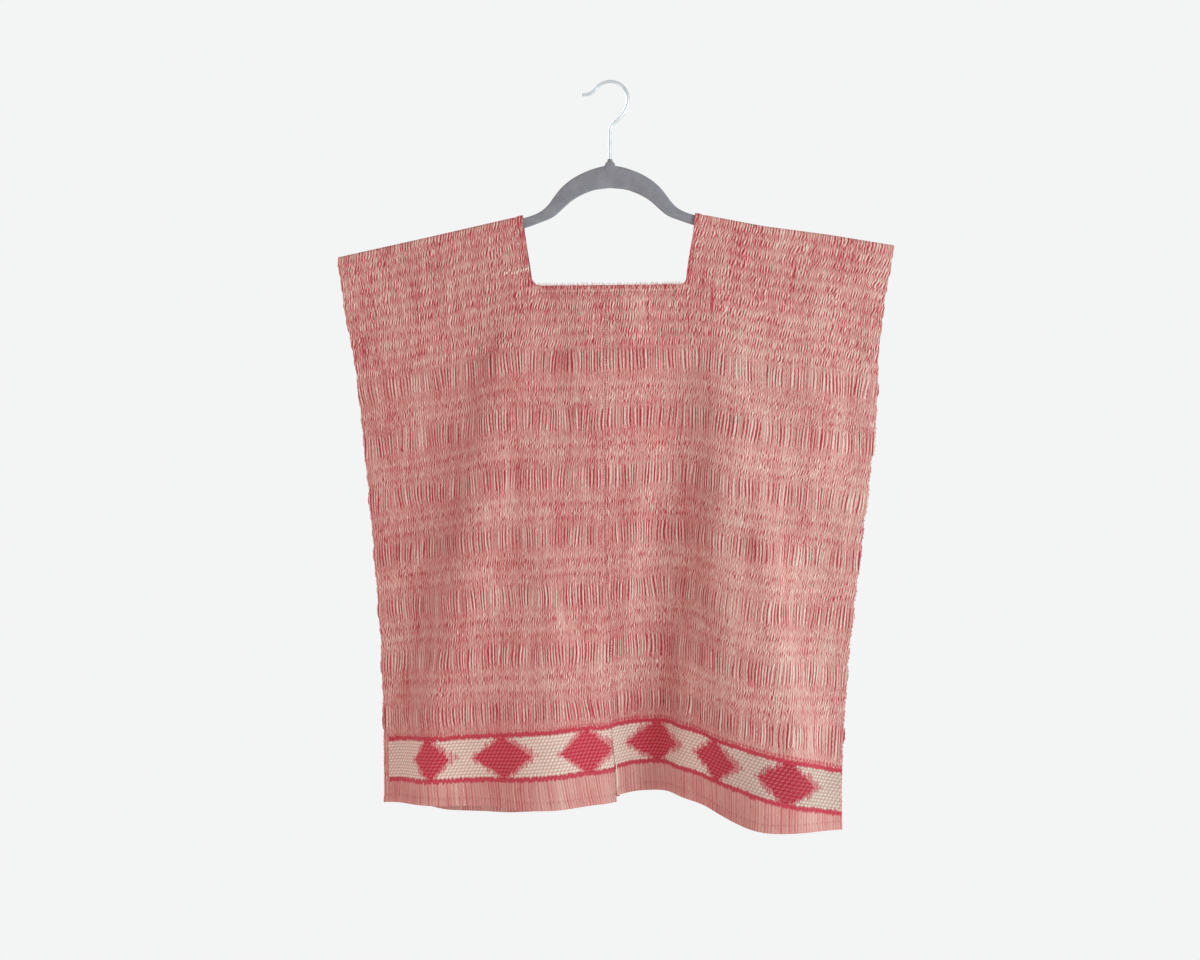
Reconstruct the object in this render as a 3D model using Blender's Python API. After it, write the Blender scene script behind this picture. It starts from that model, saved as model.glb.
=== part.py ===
"""Huipil blouse on a slim flocked clothes hanger. Metres, +Z up.

The blouse is two hand-woven lengths of cotton, called webs here. Each web is
folded over the hanger at the shoulder, so that it hangs down the front and down
the back in one piece. Its front and its back are two solids, parted by the width
of a seam along the top of the fold, so that each is a plain wall and the inside of
the blouse stays open. The left front, which billows most, is parted once more
across it below the waist. The two webs are joined edge to edge down the middle,
and a square neck is cut from their inner edges. The sides are sewn from the
armhole almost to the hem.

The front faces -Y and +X is on the right of somebody who faces it. The origin
is the inside of the top of the hanger's hook, where a rail or a peg goes.

A place on the cloth has two coordinates: across, the distance from the centre
seam (minus to the left), and down, the share of the way from the shoulder fold
to the hem.
"""

import math
from collections import namedtuple

import bpy
import numpy as np

# ---------------------------------------------------------------- cloth sizes
WEB_WIDTH = 0.333  # one woven length, from selvedge to selvedge
CLOTH_THICK = 0.0016
CLOTH_LENGTH = 0.69  # from the shoulder fold to the hem
SEAM_GAP = 0.0003  # between two pieces that are sewn to each other
NECK_HALF = 0.102  # half of the square neck's width
LEFT_NECK_DROP = 0.1165  # share of the length, from the shoulder to the neck's edge
RIGHT_NECK_DROP = 0.118
NECK_ROUND = 0.012  # radius of the neck's lower corners
NECK_PINCH = 0.0065  # how far the neck's lower corners are drawn in
NECK_PINCH_WIDE = 0.075  # how far across and down the pinch fades out
NECK_PINCH_HIGH = 0.13
FOLD_RADIUS = 0.0040  # the cloth's middle, where it bends over the hanger
LEFT_FRONT_PARTING = 0.66  # share of the length where the left front is parted across

HEM_TURN_HIGH = 0.012  # share of the length that is turned up at the hem
NECK_TURN_WIDE = 0.008  # strip turned under round the neck
TURN_THICK = 0.0005  # how far the turned edges stand out

COLUMNS_INSIDE = 7  # grid cells from the centre seam to the neck's side
COLUMNS_OUTSIDE = 12  # grid cells from the neck's side to the outer edge
ROWS_NECK = 4  # grid cells from the shoulder to the neck's lower edge
ROWS_BODY = 20  # grid cells from the neck's lower edge to the hem
FOLD_STEPS = 3  # grid cells in a quarter turn over the hanger
WIDTH_STEPS = 120  # steps in which the cloth's width is measured along a level
CORNERS_SOFT_FROM = 0.3  # share of the length where the shoulder's corners no longer show
LEAST_RUN = 0.15  # share of its width that the steepest cloth still covers, squared
SHARP_ANGLE = math.radians(40.0)  # edges that turn by more than this stay sharp

# The shoulder fold: its height at places across the blouse.
ShoulderPoint = namedtuple("ShoulderPoint", "across height")
SHOULDER = (
    ShoulderPoint(-0.333, -0.2025),
    ShoulderPoint(-0.225, -0.1810),
    ShoulderPoint(-0.102, -0.1555),
    ShoulderPoint(0.102, -0.1558),
    ShoulderPoint(0.182, -0.1720),
    ShoulderPoint(0.257, -0.1830),
    ShoulderPoint(0.333, -0.1965),
)

# The hem: its height at the front and at the back, for each web.
HemPoint = namedtuple("HemPoint", "across front back")
LEFT_HEM = (
    HemPoint(-0.333, -0.858, -0.858),
    HemPoint(-0.300, -0.855, -0.860),
    HemPoint(-0.240, -0.852, -0.872),
    HemPoint(-0.165, -0.850, -0.876),
    HemPoint(-0.100, -0.849, -0.869),
    HemPoint(-0.040, -0.847, -0.857),
    HemPoint(0.000, -0.849, -0.850),
)
RIGHT_HEM = (
    HemPoint(0.000, -0.842, -0.840),
    HemPoint(0.040, -0.838, -0.838),
    HemPoint(0.080, -0.835, -0.836),
    HemPoint(0.120, -0.840, -0.840),
    HemPoint(0.165, -0.853, -0.848),
    HemPoint(0.242, -0.865, -0.856),
    HemPoint(0.333, -0.865, -0.865),
)

# Level rings of the blouse. The X of the two side edges and of the centre seam,
# how far forward the side edges are, half of the gap between the front's and
# the back's edge, and how far the front and the back bow out between them.
Level = namedtuple(
    "Level", "down left seam right left_forward right_forward edge_half front_bow back_bow"
)
LEVELS = (
    Level(0.00, -0.327, -0.003, 0.331, 0.000, 0.000, 0.0040, 0.000, 0.000),
    Level(0.10, -0.317, -0.003, 0.320, -0.001, 0.003, 0.0060, 0.004, 0.004),
    Level(0.22, -0.304, -0.004, 0.312, -0.005, 0.008, 0.0050, 0.008, 0.009),
    Level(0.27, -0.301, -0.004, 0.311, -0.006, 0.010, 0.0013, 0.010, 0.012),
    Level(0.50, -0.288, -0.005, 0.294, -0.013, 0.021, 0.0013, 0.012, 0.024),
    Level(0.75, -0.278, 0.002, 0.275, -0.020, 0.032, 0.0013, 0.008, 0.038),
    Level(0.96, -0.276, 0.007, 0.268, -0.026, 0.041, 0.0013, 0.001, 0.050),
    Level(1.00, -0.276, 0.008, 0.268, -0.027, 0.042, 0.0030, 0.000, 0.052),
)

# The hanging folds, a row for each. A fold starts at the share start of the way
# down and runs through three places across: where it starts, halfway down the
# blouse and at the hem. A positive depth is a ridge, a negative one a trough.
Fold = namedtuple(
    "Fold", "start start_across mid_across hem_across start_half hem_half mid_depth hem_depth"
)
FRONT_FOLDS = (
    Fold(0.10, -0.105, -0.185, -0.245, 0.050, 0.095, 0.014, 0.036),
    Fold(0.16, -0.055, -0.095, -0.115, 0.060, 0.125, 0.018, 0.058),
    Fold(0.12, 0.098, 0.092, 0.046, 0.050, 0.085, -0.018, -0.038),
    Fold(0.16, 0.130, 0.185, 0.240, 0.060, 0.120, 0.014, 0.044),
)
BACK_FOLDS = (
    Fold(0.14, -0.115, -0.150, -0.190, 0.060, 0.100, -0.006, -0.014),
    Fold(0.18, -0.035, -0.050, -0.060, 0.060, 0.090, 0.008, 0.012),
    Fold(0.14, 0.060, 0.080, 0.100, 0.060, 0.110, -0.008, -0.018),
)
MID_LEVEL = 0.5

# --------------------------------------------------------------- hanger sizes
HANGER_THICK = 0.0055
HANGER_EDGE_ROUND = 0.0018
ROUND_MOST = 0.4  # share of the section's height that one rounding takes at most
ROUND_MIDDLE = 0.3  # share of a rounding by which its middle point stands in
ARM_HIGH = 0.0125
ARM_SLOPE = math.radians(13.0)
ARM_REACH = 0.221  # from the middle to the tip of an arm
ARM_START = 0.1015  # where the arch has become the straight arm
ARM_STEP = 0.03  # from there to the arm's next section
ARM_STEPS = 4
ARM_TIP_ANGLES = (30.0, 50.0, 65.0, 76.0)  # degrees round the half-round tip
ARM_TIP_LEAST = 0.25  # share of the tip's radius that its last section keeps
BOSS_HALF = 0.0062  # block that holds the hook
BOSS_TOP = -0.0922
BOSS_SHARES = (0.0, 0.45, 0.75, 0.93, 1.0)  # sections over half of the block

ArchPoint = namedtuple("ArchPoint", "across top bottom")
ARCH = (
    ArchPoint(0.0000, -0.0965, -0.1240),
    ArchPoint(0.0165, -0.1002, -0.1258),
    ArchPoint(0.0310, -0.1053, -0.1305),
    ArchPoint(0.0450, -0.1127, -0.1382),
    ArchPoint(0.0590, -0.1243, -0.1503),
    ArchPoint(0.0660, -0.1330, -0.1562),
    ArchPoint(0.0730, -0.1425, -0.1600),
    ArchPoint(0.0800, -0.1490, -0.1625),
    ArchPoint(0.0900, -0.1543, -0.1662),
    ArchPoint(0.1015, -0.1580, -0.1700),
)

WIRE_RADIUS = 0.0019
HOOK_RADIUS = 0.0215  # the wire's middle round the rail
HOOK_START_ANGLE = -20.0  # degrees, on the hook's right, seen from the front
HOOK_END_ANGLE = 142.0
HOOK_TIP_REACH = 0.0152  # how far the turned-out tip goes sideways and down
HOOK_TIP_DROP = 0.0069
HOOK_TIP_LEAD = 0.0066  # how far it keeps its direction at either end
STEM_TOP = -0.058
STEM_GAP = 0.0003  # between the block and the foot of the wire
SWAN_LEAVE = 0.0132  # how far the wire keeps its direction out of the stem
SWAN_ARRIVE = 0.022  # and into the circle
SWAN_STEPS = 9
HOOK_STEPS = 14
TIP_STEPS = 5
WIRE_SIDES = 12


def smooth_curve(places, values, wanted):
    """Value at the wanted places on a smooth curve that never overshoots its points."""
    places = np.asarray(places, float)
    values = np.asarray(values, float)
    wanted = np.clip(np.asarray(wanted, float), places[0], places[-1])
    steps = np.diff(places)
    rises = np.diff(values) / steps
    slopes = np.empty(len(places))
    slopes[0] = rises[0]
    slopes[-1] = rises[-1]
    for i in range(1, len(places) - 1):
        if rises[i - 1] * rises[i] <= 0.0:
            slopes[i] = 0.0
            continue
        before = 2 * steps[i] + steps[i - 1]
        after = steps[i] + 2 * steps[i - 1]
        slopes[i] = (before + after) / (before / rises[i - 1] + after / rises[i])
    i = np.clip(np.searchsorted(places, wanted, side="right") - 1, 0, len(steps) - 1)
    s = (wanted - places[i]) / steps[i]
    return (
        (2 * s**3 - 3 * s**2 + 1) * values[i]
        + (s**3 - 2 * s**2 + s) * steps[i] * slopes[i]
        + (3 * s**2 - 2 * s**3) * values[i + 1]
        + (s**3 - s**2) * steps[i] * slopes[i + 1]
    )


def hump(distance, half_width):
    """Smooth hump: 1 at no distance, 0 from half_width on."""
    return np.cos(0.5 * math.pi * np.clip(distance / half_width, -1.0, 1.0)) ** 2


def level_value(column, down):
    """One column of the level table, at the share down of the way to the hem."""
    return float(smooth_curve([l.down for l in LEVELS], [getattr(l, column) for l in LEVELS], down))


def fold_depth(folds, across, down):
    """How far forward the hanging folds push the cloth at places across one level."""
    depth = np.zeros_like(across)
    for fold in folds:
        if down <= fold.start:
            continue
        stops = (fold.start, MID_LEVEL, 1.0)
        middle = smooth_curve(stops, (fold.start_across, fold.mid_across, fold.hem_across), down)
        height = smooth_curve(stops, (0.0, fold.mid_depth, fold.hem_depth), down)
        share = (down - fold.start) / (1.0 - fold.start)
        half = fold.start_half + (fold.hem_half - fold.start_half) * share
        depth += height * hump(across - middle, half)
    return depth


def shoulder_height(across, down):
    """Height of the shoulder fold above each place; its corners soften further down."""
    places = [p.across for p in SHOULDER]
    heights = [p.height for p in SHOULDER]
    straight = np.interp(across, places, heights)
    softened = smooth_curve(places, heights, across)
    soft = min(down / CORNERS_SOFT_FROM, 1.0)
    return straight + (softened - straight) * soft


def neck_drop(side):
    """Share of the length from the shoulder to the neck's lower edge on one web."""
    return LEFT_NECK_DROP if side < 0 else RIGHT_NECK_DROP


def level_line(side, front, down, across):
    """Middle of the cloth along one level: an array of X, Y, Z for places across it.

    side is -1 for the left web and 1 for the right one. front is True for the
    front wall. across holds distances from the centre seam, all of them positive.
    """
    fine = np.linspace(0.0, WEB_WIDTH, WIDTH_STEPS)
    edge = level_value("left" if side < 0 else "right", down)
    seam = level_value("seam", down) + side * 0.5 * SEAM_GAP
    left_forward = level_value("left_forward", down)
    right_forward = level_value("right_forward", down)

    share = side * fine / WEB_WIDTH
    forward = 0.5 * (left_forward + right_forward) + 0.5 * (right_forward - left_forward) * share
    belly = 1.0 - share**2
    half_gap = level_value("edge_half", down)
    # The wall leaves the fold's radius at the shoulder and reaches its own bow below.
    inner_half = FOLD_RADIUS + (half_gap - FOLD_RADIUS) * share**2
    if front:
        forward += inner_half + level_value("front_bow", down) * belly
        forward += fold_depth(FRONT_FOLDS, side * fine, down)
    else:
        forward -= inner_half + level_value("back_bow", down) * belly
        forward += fold_depth(BACK_FOLDS, side * fine, down)

    hem_table = LEFT_HEM if side < 0 else RIGHT_HEM
    hem_heights = [p.front if front else p.back for p in hem_table]
    hem = smooth_curve([p.across for p in hem_table], hem_heights, side * fine)
    top = shoulder_height(side * fine, down) - FOLD_RADIUS
    height = top + (hem - top) * down

    # Across the web the cloth keeps its width: what rises or comes forward takes
    # as much from its X. The whole line is then drawn in to the level's width.
    rise = np.gradient(height, fine) ** 2 + np.gradient(forward, fine) ** 2
    run = np.sqrt(np.clip(1.0 - rise, LEAST_RUN, 1.0))
    reach = np.concatenate(([0.0], np.cumsum(0.5 * (run[1:] + run[:-1]) * np.diff(fine))))
    x = seam + (edge - seam) * reach / reach[-1]
    pinch = hump(fine - NECK_HALF, NECK_PINCH_WIDE) * hump(down - neck_drop(side), NECK_PINCH_HIGH)
    x -= side * NECK_PINCH * pinch
    return np.stack([np.interp(across, fine, line) for line in (x, -forward, height)], axis=-1)


def web_columns():
    """Distances of the grid's columns from the centre seam."""
    inside = np.linspace(0.0, NECK_HALF - NECK_ROUND, COLUMNS_INSIDE)
    outside = np.linspace(NECK_HALF, WEB_WIDTH, COLUMNS_OUTSIDE + 1)
    return np.concatenate((inside, outside))


def wall_rows(side):
    """Shares down the blouse of one wall's rows, from just below the fold to the hem."""
    round_share = NECK_ROUND / CLOTH_LENGTH
    neck = np.linspace(0.0, neck_drop(side) - round_share, ROWS_NECK)
    body = np.linspace(neck_drop(side), 1.0 - HEM_TURN_HIGH, ROWS_BODY)
    return np.concatenate((neck, body, [1.0]))


def web_middle(side, columns, rows):
    """Grid of points in the middle of one web, from the back's hem over to the front's.

    The result is the points, and for each row its share down the blouse.
    """
    back = [level_line(side, False, down, columns) for down in rows[::-1]]
    front = [level_line(side, True, down, columns) for down in rows]
    first = level_line(side, True, 0.0, columns)
    turn = []
    for step in range(1, 2 * FOLD_STEPS):
        angle = math.pi * step / (2 * FOLD_STEPS)
        arc = first.copy()
        arc[:, 1] = FOLD_RADIUS * math.cos(angle)
        arc[:, 2] = first[:, 2] + FOLD_RADIUS * math.sin(angle)
        turn.append(arc)
    downs = list(rows[::-1]) + [0.0] * len(turn) + list(rows)
    return np.array(back + turn + front), np.array(downs)


def surface_normals(points):
    """Unit normals of a grid of points."""
    along = np.gradient(points, axis=0)
    across = np.gradient(points, axis=1)
    normals = np.cross(across, along)
    return normals / np.linalg.norm(normals, axis=-1, keepdims=True)


def round_neck_corner(side, points, downs, columns):
    """Move the grid's corner point at each lower corner of the neck onto its round."""
    column = int(np.argmin(np.abs(columns - NECK_HALF)))
    for row in np.flatnonzero(np.isclose(downs, neck_drop(side))):
        upper = row - 1 if downs[row - 1] < downs[row] else row + 1
        pull = 1.0 - math.sqrt(0.5)
        corner = points[row, column].copy()
        points[row, column] += pull * (points[row, column - 1] - corner)
        points[row, column] += pull * (points[upper, column] - corner)


def turned_edges(side, downs, columns):
    """Extra thickness at each grid point, for the turned neck edges and hem."""
    extra = np.zeros((len(downs), len(columns)))
    beside_neck = (columns >= NECK_HALF) & (columns <= NECK_HALF + NECK_TURN_WIDE)
    extra[np.ix_(downs <= neck_drop(side), beside_neck)] = TURN_THICK
    extra[np.ix_(np.isclose(downs, neck_drop(side)), columns <= NECK_HALF)] = TURN_THICK
    extra[np.ix_(downs >= 1.0 - HEM_TURN_HIGH, columns >= 0.0)] = TURN_THICK
    return extra


def walled_sheet(name, outer, inner, keep, material):
    """Closed solid between two grids of points. keep says which of the cells have cloth."""
    rows, columns = outer.shape[:2]
    verts = np.concatenate((outer.reshape(-1, 3), inner.reshape(-1, 3)))
    shift = rows * columns
    faces = []
    for r in range(rows - 1):
        for c in range(columns - 1):
            if not keep[r, c]:
                continue
            a, b = r * columns + c, r * columns + c + 1
            d, e = a + columns, b + columns
            faces.append((a, b, e, d))
            faces.append((a + shift, d + shift, e + shift, b + shift))
            if r == 0 or not keep[r - 1, c]:
                faces.append((a, a + shift, b + shift, b))
            if r == rows - 2 or not keep[r + 1, c]:
                faces.append((d, e, e + shift, d + shift))
            if c == 0 or not keep[r, c - 1]:
                faces.append((a, d, d + shift, a + shift))
            if c == columns - 2 or not keep[r, c + 1]:
                faces.append((b, b + shift, e + shift, e))
    used = sorted({i for face in faces for i in face})
    place = {old: new for new, old in enumerate(used)}
    faces = [tuple(place[i] for i in face) for face in faces]
    return add_object(name, [tuple(verts[i]) for i in used], faces, material)


def draw_back(grid, end, inside):
    """Move a grid's end row towards the row inside it, by half of a seam's gap."""
    way = grid[inside] - grid[end]
    grid[end] += 0.5 * SEAM_GAP * way / np.linalg.norm(way, axis=-1, keepdims=True)


def build_web(name, side, material):
    """Front and back of one woven length, with its half of the neck cut out."""
    columns = web_columns()
    points, downs = web_middle(side, columns, wall_rows(side))
    round_neck_corner(side, points, downs, columns)
    row_in_neck = np.maximum(downs[:-1], downs[1:]) <= neck_drop(side) + 1e-9
    column_in_neck = columns[1:] <= NECK_HALF + 1e-9
    keep = ~(row_in_neck[:, None] & column_in_neck[None, :])
    extra = turned_edges(side, downs, columns)
    if side > 0:
        # Mirrored columns keep the outer face of the grid outside on both webs.
        points, extra, keep = points[:, ::-1], extra[:, ::-1], keep[:, ::-1]
    normals = surface_normals(points)
    outer = points + normals * (0.5 * CLOTH_THICK + extra)[..., None]
    inner = points - normals * (0.5 * CLOTH_THICK)

    # Each wall runs from one of these rows to the next.
    crest, last = len(points) // 2, len(points) - 1
    walls = [("back", 0, crest), ("front", crest, last)]
    if side < 0:
        parting = crest + int(np.argmin(np.abs(downs[crest:] - LEFT_FRONT_PARTING)))
        walls[1:] = [("front_upper", crest, parting), ("front_lower", parting, last)]
    for wall, start, end in walls:
        faces = [grid[start : end + 1].copy() for grid in (outer, inner)]
        for face in faces:
            if start > 0:
                draw_back(face, 0, 1)
            if end < last:
                draw_back(face, -1, -2)
        walled_sheet(f"{name}_{wall}", *faces, keep[start:end], material)


def add_object(name, verts, faces, material):
    """Mesh object of the given name with one material and outward faces."""
    mesh = bpy.data.meshes.new(name)
    mesh.from_pydata(verts, [], faces)
    mesh.validate()
    mesh.update()
    mesh.materials.append(material)
    thing = bpy.data.objects.new(name, mesh)
    bpy.context.scene.collection.objects.link(thing)
    mesh.shade_smooth()
    mesh.set_sharp_from_angle(angle=SHARP_ANGLE)
    return thing


def plain_material(name, color, roughness, metallic):
    """Principled material of one colour."""
    material = bpy.data.materials.new(name)
    material.use_nodes = True
    shader = material.node_tree.nodes["Principled BSDF"]
    shader.inputs["Base Color"].default_value = (*color, 1.0)
    shader.inputs["Roughness"].default_value = roughness
    shader.inputs["Metallic"].default_value = metallic
    return material


def loft(name, rings, material):
    """Closed solid through rings of points, each with as many points, with flat ends."""
    sides = len(rings[0])
    verts = [tuple(p) for ring in rings for p in ring]
    faces = [tuple(range(sides - 1, -1, -1))]
    for r in range(len(rings) - 1):
        for s in range(sides):
            n = (s + 1) % sides
            faces.append((r * sides + s, r * sides + n, (r + 1) * sides + n, (r + 1) * sides + s))
    last = (len(rings) - 1) * sides
    faces.append(tuple(range(last, last + sides)))
    return add_object(name, verts, faces, material)


def arm_heights(x):
    """Top and bottom of the hanger at a distance x from its middle."""
    x = abs(x)
    if x <= ARM_START:
        places = [p.across for p in ARCH]
        top = float(smooth_curve(places, [p.top for p in ARCH], x))
        bottom = float(smooth_curve(places, [p.bottom for p in ARCH], x))
    else:
        fall = (x - ARM_START) * math.tan(ARM_SLOPE)
        top = ARCH[-1].top - fall
        bottom = ARCH[-1].bottom - fall
    # The tip of the arm is a half round.
    tip = 0.5 * ARM_HIGH
    past = x - (ARM_REACH - tip)
    if past > 0.0:
        middle = 0.5 * (top + bottom)
        half = math.sqrt(max(tip**2 - past**2, (ARM_TIP_LEAST * tip) ** 2))
        top, bottom = middle + half, middle - half
    if x <= BOSS_HALF:
        top += (BOSS_TOP - top) * math.sqrt(1.0 - (x / BOSS_HALF) ** 2)
    return top, bottom


def hanger_ring(x):
    """Rounded-oblong section of the hanger at the place x, seen from +X."""
    top, bottom = arm_heights(x)
    half = 0.5 * HANGER_THICK
    r = min(HANGER_EDGE_ROUND, ROUND_MOST * (top - bottom))
    m = ROUND_MIDDLE * r
    return [
        (x, half, bottom + r),
        (x, half, top - r),
        (x, half - m, top - m),
        (x, half - r, top),
        (x, r - half, top),
        (x, m - half, top - m),
        (x, -half, top - r),
        (x, -half, bottom + r),
        (x, m - half, bottom + m),
        (x, r - half, bottom),
        (x, half - r, bottom),
        (x, half - m, bottom + m),
    ]


def build_hanger_body(material):
    """The hanger's arch and arms, with the small block that holds the hook."""
    arch = [p.across for p in ARCH if p.across > BOSS_HALF]
    boss = [BOSS_HALF * share for share in BOSS_SHARES]
    tip = 0.5 * ARM_HIGH
    arm = list(np.linspace(ARM_START + ARM_STEP, ARM_REACH - tip, ARM_STEPS))
    end = [ARM_REACH - tip * (1.0 - math.sin(math.radians(a))) for a in ARM_TIP_ANGLES]
    half = boss + arch + arm + end
    places = [-x for x in half[:0:-1]] + half
    return loft("hanger_body", [hanger_ring(x) for x in places], material)


def hook_path():
    """Points along the middle of the hook's wire, from its foot to its tip, as (x, z)."""
    top = WIRE_RADIUS
    centre_z = top - HOOK_RADIUS
    start = math.radians(HOOK_START_ANGLE)
    first = (HOOK_RADIUS * math.cos(start), centre_z + HOOK_RADIUS * math.sin(start))
    # From the stem the wire swings out to the right and meets the circle in its direction.
    foot = (0.0, BOSS_TOP + STEM_GAP)
    stem = (0.0, STEM_TOP)
    path = [foot, (0.0, 0.5 * (foot[1] + stem[1])), stem]
    leave = (stem[0], stem[1] + SWAN_LEAVE)
    arrive = (first[0] + SWAN_ARRIVE * math.sin(start), first[1] - SWAN_ARRIVE * math.cos(start))
    for step in range(1, SWAN_STEPS):
        path.append(bezier(stem, leave, arrive, first, step / SWAN_STEPS))
    for angle in np.linspace(start, math.radians(HOOK_END_ANGLE), HOOK_STEPS + 1):
        path.append((HOOK_RADIUS * math.cos(angle), centre_z + HOOK_RADIUS * math.sin(angle)))
    end = math.radians(HOOK_END_ANGLE)
    last = path[-1]
    leave = (last[0] - HOOK_TIP_LEAD * math.sin(end), last[1] + HOOK_TIP_LEAD * math.cos(end))
    tip = (last[0] - HOOK_TIP_REACH, last[1] - HOOK_TIP_DROP)
    arrive = (tip[0] + HOOK_TIP_LEAD, tip[1])
    for step in range(1, TIP_STEPS + 1):
        path.append(bezier(last, leave, arrive, tip, step / TIP_STEPS))
    return path


def bezier(a, b, c, d, s):
    """Point at the share s of a cubic curve."""
    weights = ((1 - s) ** 3, 3 * s * (1 - s) ** 2, 3 * s**2 * (1 - s), s**3)
    return tuple(sum(w * p[k] for w, p in zip(weights, (a, b, c, d))) for k in range(2))


def build_hanger_hook(material):
    """The bent wire hook that stands in the hanger's block."""
    path = hook_path()
    rings = []
    for i, (x, z) in enumerate(path):
        before = path[max(i - 1, 0)]
        after = path[min(i + 1, len(path) - 1)]
        along = math.atan2(after[1] - before[1], after[0] - before[0])
        ring = []
        for side in range(WIRE_SIDES):
            angle = 2.0 * math.pi * side / WIRE_SIDES
            out = WIRE_RADIUS * math.cos(angle)
            depth = -WIRE_RADIUS * math.sin(angle)
            ring.append((x - out * math.sin(along), depth, z + out * math.cos(along)))
        rings.append(ring)
    return loft("hanger_hook", rings, material)


def main():
    """Clear the scene and build the blouse and its hanger."""
    for thing in list(bpy.data.objects):
        bpy.data.objects.remove(thing, do_unlink=True)
    cloth = plain_material("handwoven_cotton", (0.62, 0.30, 0.30), 0.92, 0.0)
    flock = plain_material("grey_flock", (0.19, 0.20, 0.21), 0.95, 0.0)
    chrome = plain_material("chromed_wire", (0.80, 0.80, 0.80), 0.22, 1.0)
    build_web("left", -1, cloth)
    build_web("right", 1, cloth)
    build_hanger_body(flock)
    build_hanger_hook(chrome)


if __name__ == "__main__":
    main()
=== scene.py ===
"""Looks of a huipil blouse on a slim flocked hanger: cloth, sewing, hanger, light and camera.

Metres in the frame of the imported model: +Z up, the front faces -Y, and the origin is
the inside of the top of the hanger's hook.

A place on the cloth has two coordinates, as in the part's source: across, the
distance from the centre seam (minus to the left), and down, the share of the way
from the shoulder fold to the hem.
"""

import logging
import math
from dataclasses import dataclass, field
from enum import Enum
from functools import partial, partialmethod, reduce
from typing import Callable, NamedTuple, Sequence

import bpy
import numpy as np
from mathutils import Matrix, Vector


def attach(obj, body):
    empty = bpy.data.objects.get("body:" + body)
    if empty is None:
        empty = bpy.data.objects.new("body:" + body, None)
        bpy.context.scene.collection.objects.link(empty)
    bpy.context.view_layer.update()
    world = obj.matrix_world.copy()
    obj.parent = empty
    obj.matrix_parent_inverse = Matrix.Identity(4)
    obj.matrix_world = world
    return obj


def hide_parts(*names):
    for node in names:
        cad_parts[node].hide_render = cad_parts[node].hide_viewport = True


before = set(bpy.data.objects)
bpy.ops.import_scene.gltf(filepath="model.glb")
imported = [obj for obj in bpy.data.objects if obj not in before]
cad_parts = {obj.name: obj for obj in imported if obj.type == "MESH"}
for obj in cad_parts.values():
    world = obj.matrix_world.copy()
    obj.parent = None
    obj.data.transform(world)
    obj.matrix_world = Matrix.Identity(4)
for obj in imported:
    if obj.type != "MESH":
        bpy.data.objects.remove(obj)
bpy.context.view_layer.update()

BODY = "root"
WEAVE_PLACE = "weave_place"
LOG = logging.getLogger("huipil_blouse")
Node = bpy.types.Node
Socket = bpy.types.NodeSocket
Thing = bpy.types.Object
Grid = np.ndarray
Color = tuple[float, ...]
Triple = tuple[float, float, float]


# ---- the hanging form
class Side(Enum):
    """Which of the two webs, as the sign of its places across."""

    LEFT = -1
    RIGHT = 1


class Wall(Enum):
    """Which wall of the blouse, as the sign of the way its outer face looks."""

    FRONT = 1
    BACK = -1


WEB_NODES = {
    Side.LEFT: ("left_front_upper", "left_front_lower", "left_back"),
    Side.RIGHT: ("right_front", "right_back"),
}


class ShoulderPoint(NamedTuple):
    """Height of the shoulder fold at one place across."""

    across: float
    height: float


class HemPoint(NamedTuple):
    """Height of the hem at one place across, at the front and at the back."""

    across: float
    front: float
    back: float


class Level(NamedTuple):
    """One level ring of the blouse; see HangingForm.line."""

    down: float
    left: float
    seam: float
    right: float
    left_forward: float
    right_forward: float
    edge_half: float
    front_bow: float
    back_bow: float


class Fold(NamedTuple):
    """A hanging fold through three places across; a positive depth is a ridge."""

    start: float
    start_across: float
    mid_across: float
    hem_across: float
    start_half: float
    hem_half: float
    mid_depth: float
    hem_depth: float


def table(kind: Callable[..., tuple], *rows: tuple[float, ...]) -> tuple:
    """Rows of plain numbers, each made into one of a kind."""
    return tuple(kind(*row) for row in rows)


def smooth_curve(places: Sequence[float], values: Sequence[float], wanted: Grid | float) -> Grid:
    """Value on a smooth curve that never overshoots its points.

    Args:
        places: Where the curve's points are, in rising order.
        values: The curve's value at each of them.
        wanted: Places to read the curve at.

    Returns:
        The curve's value at each wanted place.
    """
    places = np.asarray(places, float)
    values = np.asarray(values, float)
    wanted = np.clip(np.asarray(wanted, float), places[0], places[-1])
    steps = np.diff(places)
    rises = np.diff(values) / steps
    slopes = np.empty(len(places))
    slopes[0], slopes[-1] = rises[0], rises[-1]
    for i in range(1, len(places) - 1):
        if rises[i - 1] * rises[i] <= 0.0:
            slopes[i] = 0.0
            continue
        before = 2 * steps[i] + steps[i - 1]
        after = steps[i] + 2 * steps[i - 1]
        slopes[i] = (before + after) / (before / rises[i - 1] + after / rises[i])
    i = np.clip(np.searchsorted(places, wanted, side="right") - 1, 0, len(steps) - 1)
    s = (wanted - places[i]) / steps[i]
    return (
        (2 * s**3 - 3 * s**2 + 1) * values[i]
        + (s**3 - 2 * s**2 + s) * steps[i] * slopes[i]
        + (3 * s**2 - 2 * s**3) * values[i + 1]
        + (s**3 - s**2) * steps[i] * slopes[i + 1]
    )


def hump(distance: Grid, half_width: float) -> Grid:
    """Smooth hump: 1 at no distance, 0 from half_width on."""
    return np.cos(0.5 * math.pi * np.clip(distance / half_width, -1.0, 1.0)) ** 2


def ripple(first: Grid, second: Grid, first_wave: float, second_wave: float, phase: float = 0.0) -> Grid:
    """Sine wave that runs along two measures at once."""
    return np.sin(first * first_wave + second * second_wave + phase)


def unit(vectors: Grid) -> Grid:
    """The vectors along the last axis, made one long."""
    return vectors / np.maximum(np.linalg.norm(vectors, axis=-1, keepdims=True), 1e-12)


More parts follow.
